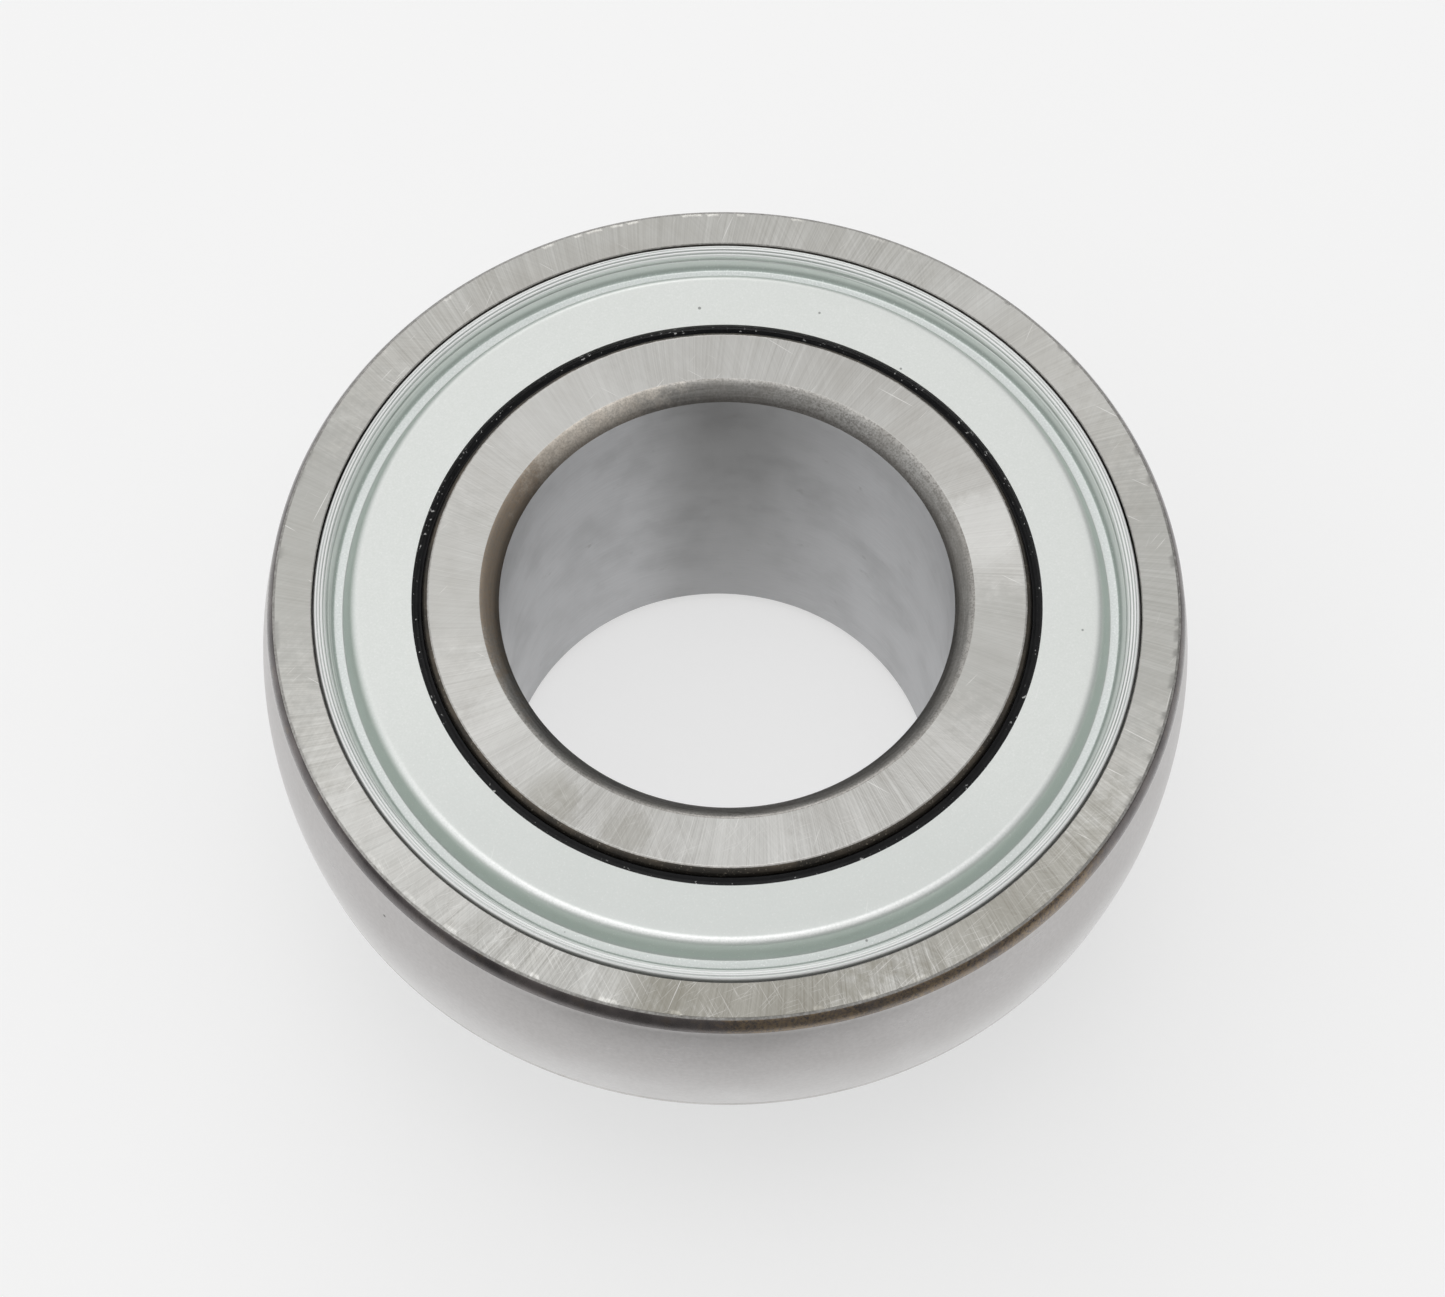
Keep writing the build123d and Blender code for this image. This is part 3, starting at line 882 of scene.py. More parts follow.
def black_screw_finish():
    """Black oxide on alloy steel, worn bare on the thread's crests in places."""
    f = Finish("black_oxide")
    grit = f.effect("grain", Size_mm=0.20, Seed=31.0)
    tone = f.effect("mottle", Size_mm=2.0, From=0.35, To=0.7, Seed=31.0)
    bare = f.effect("mottle", Size_mm=0.8, From=0.62, To=0.74, Seed=32.0)
    tint = f.mix(tone, (0.030, 0.030, 0.034), (0.070, 0.068, 0.070))
    f.colour(f.cover(tint, bare, 0.6, (0.33, 0.32, 0.31)))
    f.metallic(f.remap(bare, 0.0, 1.0, 0.75, 1.0))
    f.roughness(f.remap(grit, 0.3, 0.7, 0.30, 0.48))
    f.relief(grit, 0.015, 0.5)
    return f.material


# Outer face: a brown stain mixed with painted shade on the near side (-Y), a darker brown spot to the
# south-east, painted shade at the left and right, and painted highlights.
outer_face = ground_face(
    "ground_outer_face", (0.55, 0.547, 0.525), (0.33, 0.30, 0.25), 0.0055, 1.0, 1.0,
    spots=(
        ((3.0, -33.2, HALF_WIDTH), 14.0, 0.6, STAIN_AND_PAINTED_SHADE), ((-4.0, -33.5, HALF_WIDTH), 3.5, 0.4, STAIN_AND_PAINTED_SHADE),
        ((23.0, -25.0, HALF_WIDTH), 15.0, 0.5, STAIN_AND_PAINTED_SHADE), ((-34.0, 3.0, HALF_WIDTH), 19.0, 0.55, PAINTED_SHADE),
        ((34.0, 1.0, HALF_WIDTH), 17.0, 0.45, PAINTED_SHADE), ((-24.0, -24.0, HALF_WIDTH), 12.0, 0.45, PAINTED_HIGHLIGHT),
        ((22.0, 25.0, HALF_WIDTH), 12.0, 0.3, PAINTED_HIGHLIGHT), ((-9.0, -32.0, HALF_WIDTH), 5.0, 0.3, PAINTED_HIGHLIGHT),
    ),
)
# Inner face: two small stains, painted shade at the left and right, and painted highlights where the grinding
# marks catch the light.
inner_face = ground_face(
    "ground_inner_face", (0.58, 0.577, 0.56), (0.33, 0.30, 0.26), 0.006, 0.75, 8.0,
    spots=(
        ((-12.6, -17.8, SHORT_SIDE), 3.0, 0.5, STAIN_AND_PAINTED_SHADE), ((-7.0, -20.6, SHORT_SIDE), 2.6, 0.3, STAIN_AND_PAINTED_SHADE),
        ((-21.0, 0.0, SHORT_SIDE), 10.0, 0.30, PAINTED_SHADE), ((20.5, -4.0, SHORT_SIDE), 9.0, 0.45, PAINTED_SHADE),
        ((19.5, 6.5, SHORT_SIDE), 4.5, 0.5, PAINTED_HIGHLIGHT), ((-15.5, -13.5, SHORT_SIDE), 7.0, 0.35, PAINTED_HIGHLIGHT),
        ((-13.0, 16.0, SHORT_SIDE), 8.0, 0.25, PAINTED_HIGHLIGHT), ((2.0, -20.5, SHORT_SIDE), 6.0, 0.4, PAINTED_HIGHLIGHT),
    ),
)
corner_finish = corner_scale(
    "corner_scale", (0.068, 0.060, 0.061), (0.152, 0.134, 0.130), 3.0,
    bright_spots=(((6.0, -34.6, 8.0), 7.0), ((16.0, -31.2, 8.0), 7.0), ((25.0, -25.0, 8.0), 8.0)),
)
# The lower corner is the same scale as the upper one, painted far paler as painted light from the bright
# table below it.
lower_corner_painted_light = corner_scale("lower_corner_scale", (0.50, 0.48, 0.46), (0.62, 0.60, 0.58), 14.0)
sphere_steel = sphere_finish()
# The bore carries the band of painted shade; the land has none.
bore_steel = ground_cylinder("ground_bore", 0.8)
land_steel = ground_cylinder("ground_land", 0.0)
bore_corner = bore_corner_finish()
shoulder_scale = shoulder_finish()
bright_edge = bright_edge_finish()
raceway_steel = raceway_finish()
recess_steel = recess_finish()
zinc_flat = zinc_finish("zinc_flat", (0.77, 0.79, 0.77), (0.71, 0.735, 0.71), 0.15, 1.0)
zinc_bend = zinc_finish("zinc_bend", (0.78, 0.80, 0.785), (0.70, 0.725, 0.705), 0.35, 2.0)
zinc_flange = zinc_finish("zinc_flange", (0.82, 0.85, 0.84), (0.66, 0.70, 0.68), 0.9, 3.0)
rubber = rubber_finish()
ball_steel = ball_finish()
cage_steel = cage_finish()
rivet_steel = rivet_finish()
black_oxide = black_screw_finish()


# ---------------------------------------------------------------- outlines

def arc(start, middle, end, count):
    """Points along the circle through three points, both ends included."""
    (ax, ay), (bx, by), (cx, cy) = start, middle, end
    d = 2 * (ax * (by - cy) + bx * (cy - ay) + cx * (ay - by))
    a2, b2, c2 = ax * ax + ay * ay, bx * bx + by * by, cx * cx + cy * cy
    ux = (a2 * (by - cy) + b2 * (cy - ay) + c2 * (ay - by)) / d
    uy = (a2 * (cx - bx) + b2 * (ax - cx) + c2 * (bx - ax)) / d
    radius = math.hypot(ax - ux, ay - uy)
    first = math.atan2(ay - uy, ax - ux)
    sweep = (math.atan2(cy - uy, cx - ux) - first) % TURN
    if (math.atan2(by - uy, bx - ux) - first) % TURN > sweep:
        sweep -= TURN
    angles = [first + sweep * i / count for i in range(count + 1)]
    return [(ux + radius * math.cos(t), uy + radius * math.sin(t)) for t in angles]


def straight(start, end, count=1, edge=0.0):
    """Points along a line. With edge, extra points that far inside each end keep the shading flat."""
    shares = {i / count for i in range(count + 1)}
    if edge:
        inside = edge / math.dist(start, end)
        shares |= {inside, 1 - inside}
    (r, z), rise, climb = start, end[0] - start[0], end[1] - start[1]
    return [(r + rise * share, z + climb * share) for share in sorted(shares)]


def bowed(start, end, bulge):
    """Middle point of a shallow arc that bows to the left of start to end."""
    run = (end[0] - start[0], end[1] - start[1])
    distance = math.hypot(*run)
    r = (start[0] + end[0]) / 2 - run[1] / distance * bulge
    z = (start[1] + end[1]) / 2 + run[0] / distance * bulge
    return r, z


def flip(points):
    """The same run on the lower side, in the opposite order."""
    return [(r, -z) for r, z in reversed(points)]


def rounded(corners, radii, count=5):
    """An open path through corners, with an arc of the given radius at each inner corner."""
    path = [corners[0]]
    for before, here, after, radius in zip(corners, corners[1:], corners[2:], radii):
        a, b = Vector(before) - Vector(here), Vector(after) - Vector(here)
        half = a.angle(b) / 2
        reach = radius / math.tan(half)
        start, end = Vector(here) + a.normalized() * reach, Vector(here) + b.normalized() * reach
        centre = Vector(here) + (a.normalized() + b.normalized()).normalized() * radius / math.sin(half)
        middle = centre + (Vector(here) - centre).normalized() * radius
        path += arc(tuple(start), tuple(middle), tuple(end), count)
    return path + [corners[-1]]


def spaced(path, step):
    """The same path with no gap between points larger than step."""
    made = [path[0]]
    for start, end in zip(path, path[1:]):
        count = max(1, math.ceil(math.dist(start, end) / step))
        made += straight(start, end, count)[1:]
    return made


def offset(path, distance):
    """The path moved to its left by distance."""
    made = []
    for i, here in enumerate(path):
        before, after = path[max(i - 1, 0)], path[min(i + 1, len(path) - 1)]
        runs = [Vector(q) - Vector(p) for p, q in ((before, here), (here, after)) if p != q]
        lefts = [Vector((-run.y, run.x)).normalized() for run in runs]
        left = sum(lefts, Vector((0, 0))).normalized()
        reach = distance / max(left.dot(lefts[0]), 0.5)
        made.append((here[0] + left.x * reach, here[1] + left.y * reach))
    return made


class Outline:
    """A closed half-section, anticlockwise in (r, z). A point has the finish number of what follows it."""

    def __init__(self):
        self.points, self.zones, self.extra = [], [], {}

    def run(self, points, zone, **weights):
        """Adds points with a finish number, and weights that the trees read, such as uneven=0.03."""
        for point in points:
            if self.points and math.dist(self.points[-1], point) < 1e-6:
                index = len(self.points) - 1
                self.zones[index] = zone
            else:
                index = len(self.points)
                self.points.append(point)
                self.zones.append(zone)
            for label, value in weights.items():
                self.extra.setdefault(label, {})[index] = value
        return self

    def mesh(self, name):
        count = len(self.points)
        if math.dist(self.points[0], self.points[-1]) < 1e-6:
            count -= 1
        made = bpy.data.meshes.new(name)
        made.from_pydata([(r * MM, 0, z * MM) for r, z in self.points[:count]], [], [])
        made.attributes.new("zone", "INT", "POINT").data.foreach_set("value", self.zones[:count])
        for label, values in self.extra.items():
            column = [values.get(i, 0.0) for i in range(count)]
            made.attributes.new(label, "FLOAT", "POINT").data.foreach_set("value", column)
        return made


# ---------------------------------------------------------------- geometry trees

class Lathe:
    """The nodes that every turned shape shares: a grid of columns around Z by the rows of an outline."""

    def __init__(self, tree, outline, steps):
        self.tree, self.outline, self.steps = tree, outline, steps
        size = add(tree, "GeometryNodeAttributeDomainSize", {"Geometry": outline}, component="MESH")
        self.rows = size.outputs["Point Count"]
        self.grid_rows = maths(tree, "ADD", self.rows, 1)
        self.index = add(tree, "GeometryNodeInputIndex").outputs[0]
        row = maths(tree, "MODULO", self.index, self.grid_rows)
        self.row = maths(tree, "MODULO", row, self.rows)
        self.column = maths(tree, "FLOOR", maths(tree, "DIVIDE", self.index, self.grid_rows))
        self.angle = maths(tree, "MULTIPLY", maths(tree, "DIVIDE", self.column, steps), TURN)
        position = add(tree, "GeometryNodeInputPosition").outputs[0]
        place = parts_of(tree, self.sample("FLOAT_VECTOR", position, self.row))
        self.radius, self.height = place["X"], place["Z"]

    def sample(self, kind, value, row):
        pick = add(self.tree, "GeometryNodeSampleIndex", {"Geometry": self.outline},
                   data_type=kind, domain="POINT")
        self.tree.links.new(value, pick.inputs["Value"])
        self.tree.links.new(row, pick.inputs["Index"])
        return pick.outputs["Value"]

    def weight(self, label, kind="FLOAT", row=None):
        named = add(self.tree, "GeometryNodeInputNamedAttribute", {"Name": label}, data_type=kind)
        return self.sample(kind, named.outputs["Attribute"], row or self.row)

    def place(self, radius, height):
        return on_circle(self.tree, radius, self.angle, height)

    def body(self, position):
        """The closed mesh, with each face's finish number."""
        tree = self.tree
        columns = maths(tree, "ADD", self.steps, 1)
        counts = {"Vertices X": columns, "Vertices Y": self.grid_rows}
        grid = add(tree, "GeometryNodeMeshGrid", counts).outputs[0]
        turned = add(tree, "GeometryNodeSetPosition", {"Geometry": grid, "Position": position}).outputs[0]
        face_row = maths(tree, "MODULO", self.index, self.rows)
        marked = add(tree, "GeometryNodeStoreNamedAttribute", {"Geometry": turned, "Name": "finish"},
                     data_type="INT", domain="FACE")
        tree.links.new(self.weight("zone", "INT", face_row), marked.inputs["Value"])
        closed = add(tree, "GeometryNodeMergeByDistance", {"Geometry": marked.outputs[0], "Distance": 1e-7})
        return add(tree, "GeometryNodeSetShadeSmooth", {"Geometry": closed.outputs[0]}).outputs[0]


def turned_group():
    """A turned body. Points with an uneven weight wander inwards by up to that much."""
    tree, take, give = new_group("turned_body", "GeometryNodeTree", [
        ("Outline", "Geometry", None), ("Steps", "Int", 512), ("Unevenness per m", "Float", 900.0),
        ("Seed", "Float", 1.0),
    ], [("Body", "Geometry")])
    lathe = Lathe(tree, take["Outline"], take["Steps"])
    noise = seeded_noise(tree, {
        "Vector": lathe.place(lathe.radius, lathe.height), "W": take["Seed"],
        "Scale": take["Unevenness per m"], "Detail": 2.0,
    })
    push = maths(tree, "MULTIPLY", maths(tree, "MULTIPLY", noise, lathe.weight("uneven")), -MM)
    radius = maths(tree, "ADD", lathe.radius, push)
    height = maths(tree, "MULTIPLY_ADD", push, maths(tree, "SIGN", lathe.height), lathe.height)
    tree.links.new(lathe.body(lathe.place(radius, height)), give["Body"])
    return tree


def threaded_group():
    """A turned body whose thread points follow a helix, and whose socket points follow a hexagon."""
    tree, take, give = new_group("threaded_body", "GeometryNodeTree", [
        ("Outline", "Geometry", None), ("Steps", "Int", 96), ("Pitch", "Float", 0.001),
        ("Depth", "Float", 0.0004),
    ], [("Body", "Geometry")])
    lathe = Lathe(tree, take["Outline"], take["Steps"])
    turns = maths(tree, "SUBTRACT", maths(tree, "DIVIDE", lathe.height, take["Pitch"]),
                  maths(tree, "DIVIDE", lathe.angle, TURN))
    ridge = maths(tree, "PINGPONG", turns, 0.5)
    ridge = remap(tree, ridge, 0.06, 0.44)
    cut = maths(tree, "MULTIPLY", maths(tree, "MULTIPLY", ridge, take["Depth"]), lathe.weight("thread"))
    radius = maths(tree, "SUBTRACT", lathe.radius, cut)
    sixth = maths(tree, "SUBTRACT", maths(tree, "FLOORED_MODULO", lathe.angle, TURN / 6), TURN / 12)
    flat = maths(tree, "DIVIDE", 1.0, maths(tree, "COSINE", sixth))
    stretch = maths(tree, "MULTIPLY_ADD", maths(tree, "SUBTRACT", flat, 1.0), lathe.weight("hexagon"), 1.0)
    radius = maths(tree, "MULTIPLY", radius, stretch)
    tree.links.new(lathe.body(lathe.place(radius, lathe.height)), give["Body"])
    return tree


def ribbon_group():
    """One pressed ribbon of the cage: a flat ring whose sheet rises over each ball in a round pocket."""
    tree, take, give = new_group("pressed_ribbon", "GeometryNodeTree", [
        ("Outline", "Geometry", None), ("Steps", "Int", 1080), ("Pockets", "Int", 9),
        ("Pitch Radius", "Float", 0.0267), ("Pocket Radius", "Float", 0.0057), ("Side", "Float", 1.0),
    ], [("Body", "Geometry")])
    lathe = Lathe(tree, take["Outline"], take["Steps"])
    share = maths(tree, "DIVIDE", TURN, take["Pockets"])
    shifted = maths(tree, "ADD", lathe.angle, maths(tree, "DIVIDE", share, 2.0))
    local = maths(tree, "FLOORED_MODULO", shifted, share)
    local = maths(tree, "SUBTRACT", local, maths(tree, "DIVIDE", share, 2.0))
    across = maths(tree, "SUBTRACT", maths(tree, "MULTIPLY", lathe.radius, maths(tree, "COSINE", local)),
                   take["Pitch Radius"])
    along = maths(tree, "MULTIPLY", lathe.radius, maths(tree, "SINE", local))
    away = maths(tree, "ADD", maths(tree, "MULTIPLY", across, across), maths(tree, "MULTIPLY", along, along))
    shell = maths(tree, "ADD", take["Pocket Radius"], lathe.height)
    room = maths(tree, "SUBTRACT", maths(tree, "MULTIPLY", shell, shell), away)
    dome = maths(tree, "SQRT", maths(tree, "MAXIMUM", room, 0.0))
    height = maths(tree, "SMOOTH_MAX", lathe.height, dome, 0.0004)
    height = maths(tree, "MULTIPLY", height, take["Side"])
    tree.links.new(lathe.body(lathe.place(lathe.radius, height)), give["Body"])
    return tree


def ball_group():
    """A ball whose faces are even all over, with no poles."""
    tree, take, give = new_group("even_ball", "GeometryNodeTree", [
        ("Outline", "Geometry", None), ("Across", "Int", 25), ("Radius", "Float", 0.0055),
        ("Centre", "Vector", None),
    ], [("Body", "Geometry")])
    counts = {"Vertices " + axis: take["Across"] for axis in "XYZ"}
    cube = add(tree, "GeometryNodeMeshCube", {"Size": (2, 2, 2), **counts}).outputs["Mesh"]
    position = add(tree, "GeometryNodeInputPosition").outputs[0]
    parts = parts_of(tree, position)
    even = [maths(tree, "TANGENT", maths(tree, "MULTIPLY", parts[i], TURN / 8)) for i in range(3)]
    out = vector_maths(tree, "NORMALIZE", combine(tree, *even))
    place = vector_maths(tree, "ADD", scaled(tree, out, take["Radius"]), take["Centre"])
    ball = add(tree, "GeometryNodeSetPosition", {"Geometry": cube, "Position": place}).outputs[0]
    smooth = add(tree, "GeometryNodeSetShadeSmooth", {"Geometry": ball}).outputs[0]
    tree.links.new(smooth, give["Body"])
    return tree


def ring_of_items_group():
    """Copies of a turned item, evenly spaced on a circle."""
    tree, take, give = new_group("ring_of_items", "GeometryNodeTree", [
        ("Outline", "Geometry", None), ("Steps", "Int", 32), ("Count", "Int", 9),
        ("Circle Radius", "Float", 0.0267), ("Start Angle", "Float", 0.0),
    ], [("Body", "Geometry")])
    lathe = Lathe(tree, take["Outline"], take["Steps"])
    item = lathe.body(lathe.place(lathe.radius, lathe.height))
    points = add(tree, "GeometryNodePoints", {"Count": take["Count"]}).outputs[0]
    share = maths(tree, "DIVIDE", TURN, take["Count"])
    turn = maths(tree, "MULTIPLY_ADD", lathe.index, share, take["Start Angle"])
    place = on_circle(tree, take["Circle Radius"], turn, 0.0)
    placed = add(tree, "GeometryNodeSetPosition", {"Geometry": points, "Position": place}).outputs[0]
    spin = add(tree, "FunctionNodeRandomValue", {2: 0.0, 3: TURN, "Seed": 5}, data_type="FLOAT").outputs[1]
    copies = add(tree, "GeometryNodeInstanceOnPoints", {
        "Points": placed, "Instance": item, "Rotation": combine(tree, 0.0, 0.0, spin),
    }).outputs[0]
    tree.links.new(copies, give["Body"])
    return tree


def burrs_group():
    """Slivers of steel at random places along an edge that runs around the shaft."""
    tree, take, give = new_group("edge_burrs", "GeometryNodeTree", [
        ("Outline", "Geometry", None), ("Count", "Int", 40), ("Edge Radius", "Float", 0.0347),
        ("Height", "Float", 0.0085), ("From", "Float", 0.0), ("To", "Float", TURN),
        ("Smallest", "Float", 0.4), ("Largest", "Float", 1.2), ("Seed", "Int", 1),
    ], [("Body", "Geometry")])
    index = add(tree, "GeometryNodeInputIndex").outputs[0]

    def chance(low, high, salt):
        seed = maths(tree, "ADD", take["Seed"], salt)
        values = {2: low, 3: high, "ID": index, "Seed": seed}
        return add(tree, "FunctionNodeRandomValue", values, data_type="FLOAT").outputs[1]

    turn = chance(take["From"], take["To"], 0)
    place = on_circle(tree, take["Edge Radius"], turn, take["Height"])
    points = add(tree, "GeometryNodePoints", {"Count": take["Count"], "Position": place}).outputs[0]
    yaw = maths(tree, "ADD", maths(tree, "ADD", turn, TURN / 4), chance(-0.5, 0.5, 1))
    rotation = combine(tree, chance(-0.5, 0.5, 2), 0.0, yaw)
    long = chance(take["Smallest"], take["Largest"], 3)
    wide = chance(take["Smallest"], 1.0, 4)
    thick = chance(take["Smallest"], take["Largest"], 5)
    copies = add(tree, "GeometryNodeInstanceOnPoints", {
        "Points": points, "Instance": take["Outline"], "Rotation": rotation,
        "Scale": combine(tree, long, wide, thick),
    }).outputs[0]
    tree.links.new(copies, give["Body"])
    return tree


TURNED, THREADED, RIBBON, BALL, RING_OF_ITEMS, BURRS = (
    turned_group(), threaded_group(), ribbon_group(), ball_group(), ring_of_items_group(), burrs_group(),
)


def finished_tree(name, shape, finishes):
    """A piece's own tree: the shape, made real, with a finish for each zone."""
    inputs = [(s.name, s.socket_type.removeprefix("NodeSocket"), getattr(s, "default_value", None))
              for s in shape.interface.items_tree if s.in_out == "INPUT"]
    tree, take, give = new_group(name, "GeometryNodeTree", inputs, [("Geometry", "Geometry")])
    node = add(tree, "GeometryNodeGroup", node_tree=shape)
    for label, _, _ in inputs:
        tree.links.new(take[label], node.inputs[label])
    body = add(tree, "GeometryNodeRealizeInstances", {"Geometry": node.outputs["Body"]}).outputs[0]
    zone = add(tree, "GeometryNodeInputNamedAttribute", {"Name": "finish"}, data_type="INT")
    for number, finish in enumerate(finishes):
        values = {"Geometry": body, "Material": finish}
        if len(finishes) > 1:
            here = add(tree, "FunctionNodeCompare", {2: zone.outputs["Attribute"], 3: number},
                       data_type="INT", operation="EQUAL")
            values["Selection"] = here.outputs[0]
        body = add(tree, "GeometryNodeSetMaterial", values).outputs[0]
    tree.links.new(body, give["Geometry"])
    return tree


def made_mesh(piece):
    """The piece as its modifiers leave it, as a plain mesh with its faces outwards."""
    graph = bpy.context.evaluated_depsgraph_get()
    mesh = bpy.data.meshes.new_from_object(piece.evaluated_get(graph), depsgraph=graph)
    piece.modifiers.clear()
    piece.data = mesh
    work = bmesh.new()
    work.from_mesh(mesh)
    bmesh.ops.remove_doubles(work, verts=work.verts, dist=1e-8)
    bmesh.ops.recalc_face_normals(work, faces=work.faces)
    work.to_mesh(mesh)
    work.free()
    mesh.name = piece.name
    return mesh


SHARP = math.radians(38)


def make(name, start_mesh, shape, finishes, values=None, sharp=SHARP):
    """Runs a shape's tree on a starting mesh and keeps the result."""
    piece = bpy.data.objects.new(name, start_mesh)
    bpy.context.scene.collection.objects.link(piece)
    tree = finished_tree(name + "_tree", shape, finishes)
    modifier = piece.modifiers.new("shape", "NODES")
    modifier.node_group = tree
    sockets = {s.name: s.identifier for s in tree.interface.items_tree if s.in_out == "INPUT"}
    for label, value in (values or {}).items():
        modifier[sockets[label]] = value
    mesh = made_mesh(piece)
    mesh.set_sharp_from_angle(angle=sharp)
    return piece


def settle(piece, body, slot, *nodes):
    """Fixes a finished piece to its body, in place of its CAD nodes."""
    for node in nodes:
        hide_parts(node)
    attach(piece, body)


# ---------------------------------------------------------------- outer ring

FACE, BRIGHT, CORNER, SPHERE, DEEP, RACE, LOWER_CORNER = range(7)


def outer_ring_outline():
    face_edge, sphere_edge = (FACE_OUTER_R, HALF_WIDTH), (CORNER_R, CORNER_Z)
    corner = arc(face_edge, bowed(face_edge, sphere_edge, 0.15), sphere_edge, 12)
    side = [
        (straight((OUTER_LAND_R, SEAT_Z), (UNDERCUT_R, SEAT_Z), 3, 0.05), DEEP, 0.0),
        (straight((UNDERCUT_R, SEAT_Z), (UNDERCUT_R, UNDERCUT_TOP), 2, 0.05), DEEP, 0.0),
        (straight((UNDERCUT_R, UNDERCUT_TOP), (RECESS_R, UNDERCUT_MOUTH)), DEEP, 0.0),
        (straight((RECESS_R, UNDERCUT_MOUTH), (RECESS_R, HALF_WIDTH - EDGE), 2), DEEP, 0.02),
        (straight((RECESS_R, HALF_WIDTH - EDGE), (RECESS_R + EDGE, HALF_WIDTH)), BRIGHT, 0.05),
        (straight((RECESS_R + EDGE, HALF_WIDTH), (FACE_OUTER_R - EDGE, HALF_WIDTH), 6, 0.06), FACE, 0.0),
        (straight((FACE_OUTER_R - EDGE, HALF_WIDTH), corner[1]), BRIGHT, 0.06),
        (corner[1:], CORNER, 0.0),
    ]
    groove_r, groove_z = OUTER_GROOVE
    made = Outline()
    made.run(arc((OUTER_LAND_R, -groove_z), (groove_r, 0), (OUTER_LAND_R, groove_z), 20), RACE)
    made.run(straight((OUTER_LAND_R, groove_z), (OUTER_LAND_R, SEAT_Z), 2), DEEP)
    for points, zone, uneven in side:
        made.run(points, zone, uneven=uneven)
    made.run(arc((CORNER_R, CORNER_Z), (SPHERE_R, 0), (CORNER_R, -CORNER_Z), 30), SPHERE)
    for points, zone, uneven in reversed(side):
        made.run(flip(points), LOWER_CORNER if zone == CORNER else zone, uneven=uneven)
    made.run(straight((OUTER_LAND_R, -SEAT_Z), (OUTER_LAND_R, -groove_z), 2), DEEP)
    return made


def make_outer_ring():
    finishes = [
        outer_face, bright_edge, corner_finish, sphere_steel, recess_steel, raceway_steel, lower_corner_painted_light,
    ]
    start = outer_ring_outline().mesh("outer_ring_outline")
    ring = make("outer_ring_turned", start, TURNED, finishes, {"Steps": 640, "Unevenness per m": 1500.0})
    settle(ring, "outer", "ring_steel", "outer_ring")


# ---------------------------------------------------------------- inner ring

I_FACE, I_BRIGHT, I_SHOULDER, I_LAND, I_RACE, I_MOUTH, I_BORE = range(7)


def end_corners(side, end_z):
    """The face and both corners of one end of the inner ring, from the land inwards."""
    z = abs(end_z)
    shoulder_r, mouth_r = INNER_LAND_R - SHOULDER[0], BORE_R + MOUTH[0]
    land, face_edge = (INNER_LAND_R, z - SHOULDER[1]), (shoulder_r, z)
    mouth, bore = (mouth_r, z), (BORE_R, z - MOUTH[1])
    shoulder = arc(land, bowed(face_edge, land, 0.09), face_edge, 8)
    corner = arc(mouth, bowed(bore, mouth, 0.12), bore, 14)
    runs = [
        (shoulder[:-1], I_SHOULDER, 0.03),
        ([shoulder[-2], (shoulder_r - EDGE, z)], I_BRIGHT, 0.05),
        (straight((shoulder_r - EDGE, z), (mouth_r + EDGE, z), 6, 0.06), I_FACE, 0.0),
        ([(mouth_r + EDGE, z), corner[1]], I_MOUTH, 0.0),
        (corner[1:], I_MOUTH, 0.02),
    ]
    if side > 0:
        return runs
    return [(flip(points), zone, uneven) for points, zone, uneven in reversed(runs)]


def inner_ring_outline():
    groove_r, groove_z = INNER_GROOVE
    top, bottom = SHORT_SIDE - SHOULDER[1], SHOULDER[1] - LONG_SIDE
    made = Outline()
    made.run(arc((INNER_LAND_R, -groove_z), (groove_r, 0), (INNER_LAND_R, groove_z), 20), I_RACE)
    made.run(straight((INNER_LAND_R, groove_z), (INNER_LAND_R, SEAL_TOP - SHEET), 3), I_LAND)
    made.run(straight((INNER_LAND_R, SEAL_TOP - SHEET), (INNER_LAND_R, top), 2, 0.06), I_SHOULDER)
    for points, zone, uneven in end_corners(1, SHORT_SIDE):
        made.run(points, zone, uneven=uneven)
    bore_top, bore_end = SHORT_SIDE - MOUTH[1], MOUTH[1] - LONG_SIDE
    made.run(straight((BORE_R, bore_top), (BORE_R, bore_end), 18, 0.08), I_BORE)
    for points, zone, uneven in end_corners(-1, -LONG_SIDE):
        made.run(points, zone, uneven=uneven)
    made.run(straight((INNER_LAND_R, bottom), (INNER_LAND_R, -groove_z), 12, 0.06), I_LAND)
    return made


def screw_matrix(angle):
    """Turns a part made along +Z so that it points outwards along a grub screw's axis."""
    out = Vector((math.cos(math.radians(angle)), math.sin(math.radians(angle)), 0))
    turn = out.to_track_quat("Z", "Y").to_matrix().to_4x4()
    return Matrix.Translation(Vector((0, 0, SCREW_Z * MM))) @ turn


def place_on_screw_axes(piece):
    """Puts a copy of the piece's mesh at each grub screw's place, in place of the one along +Z."""
    work = bmesh.new()
    for angle in SCREW_ANGLES:
        mesh = piece.data.copy()
        mesh.transform(screw_matrix(angle))
        work.from_mesh(mesh)
    work.to_mesh(piece.data)
    work.free()


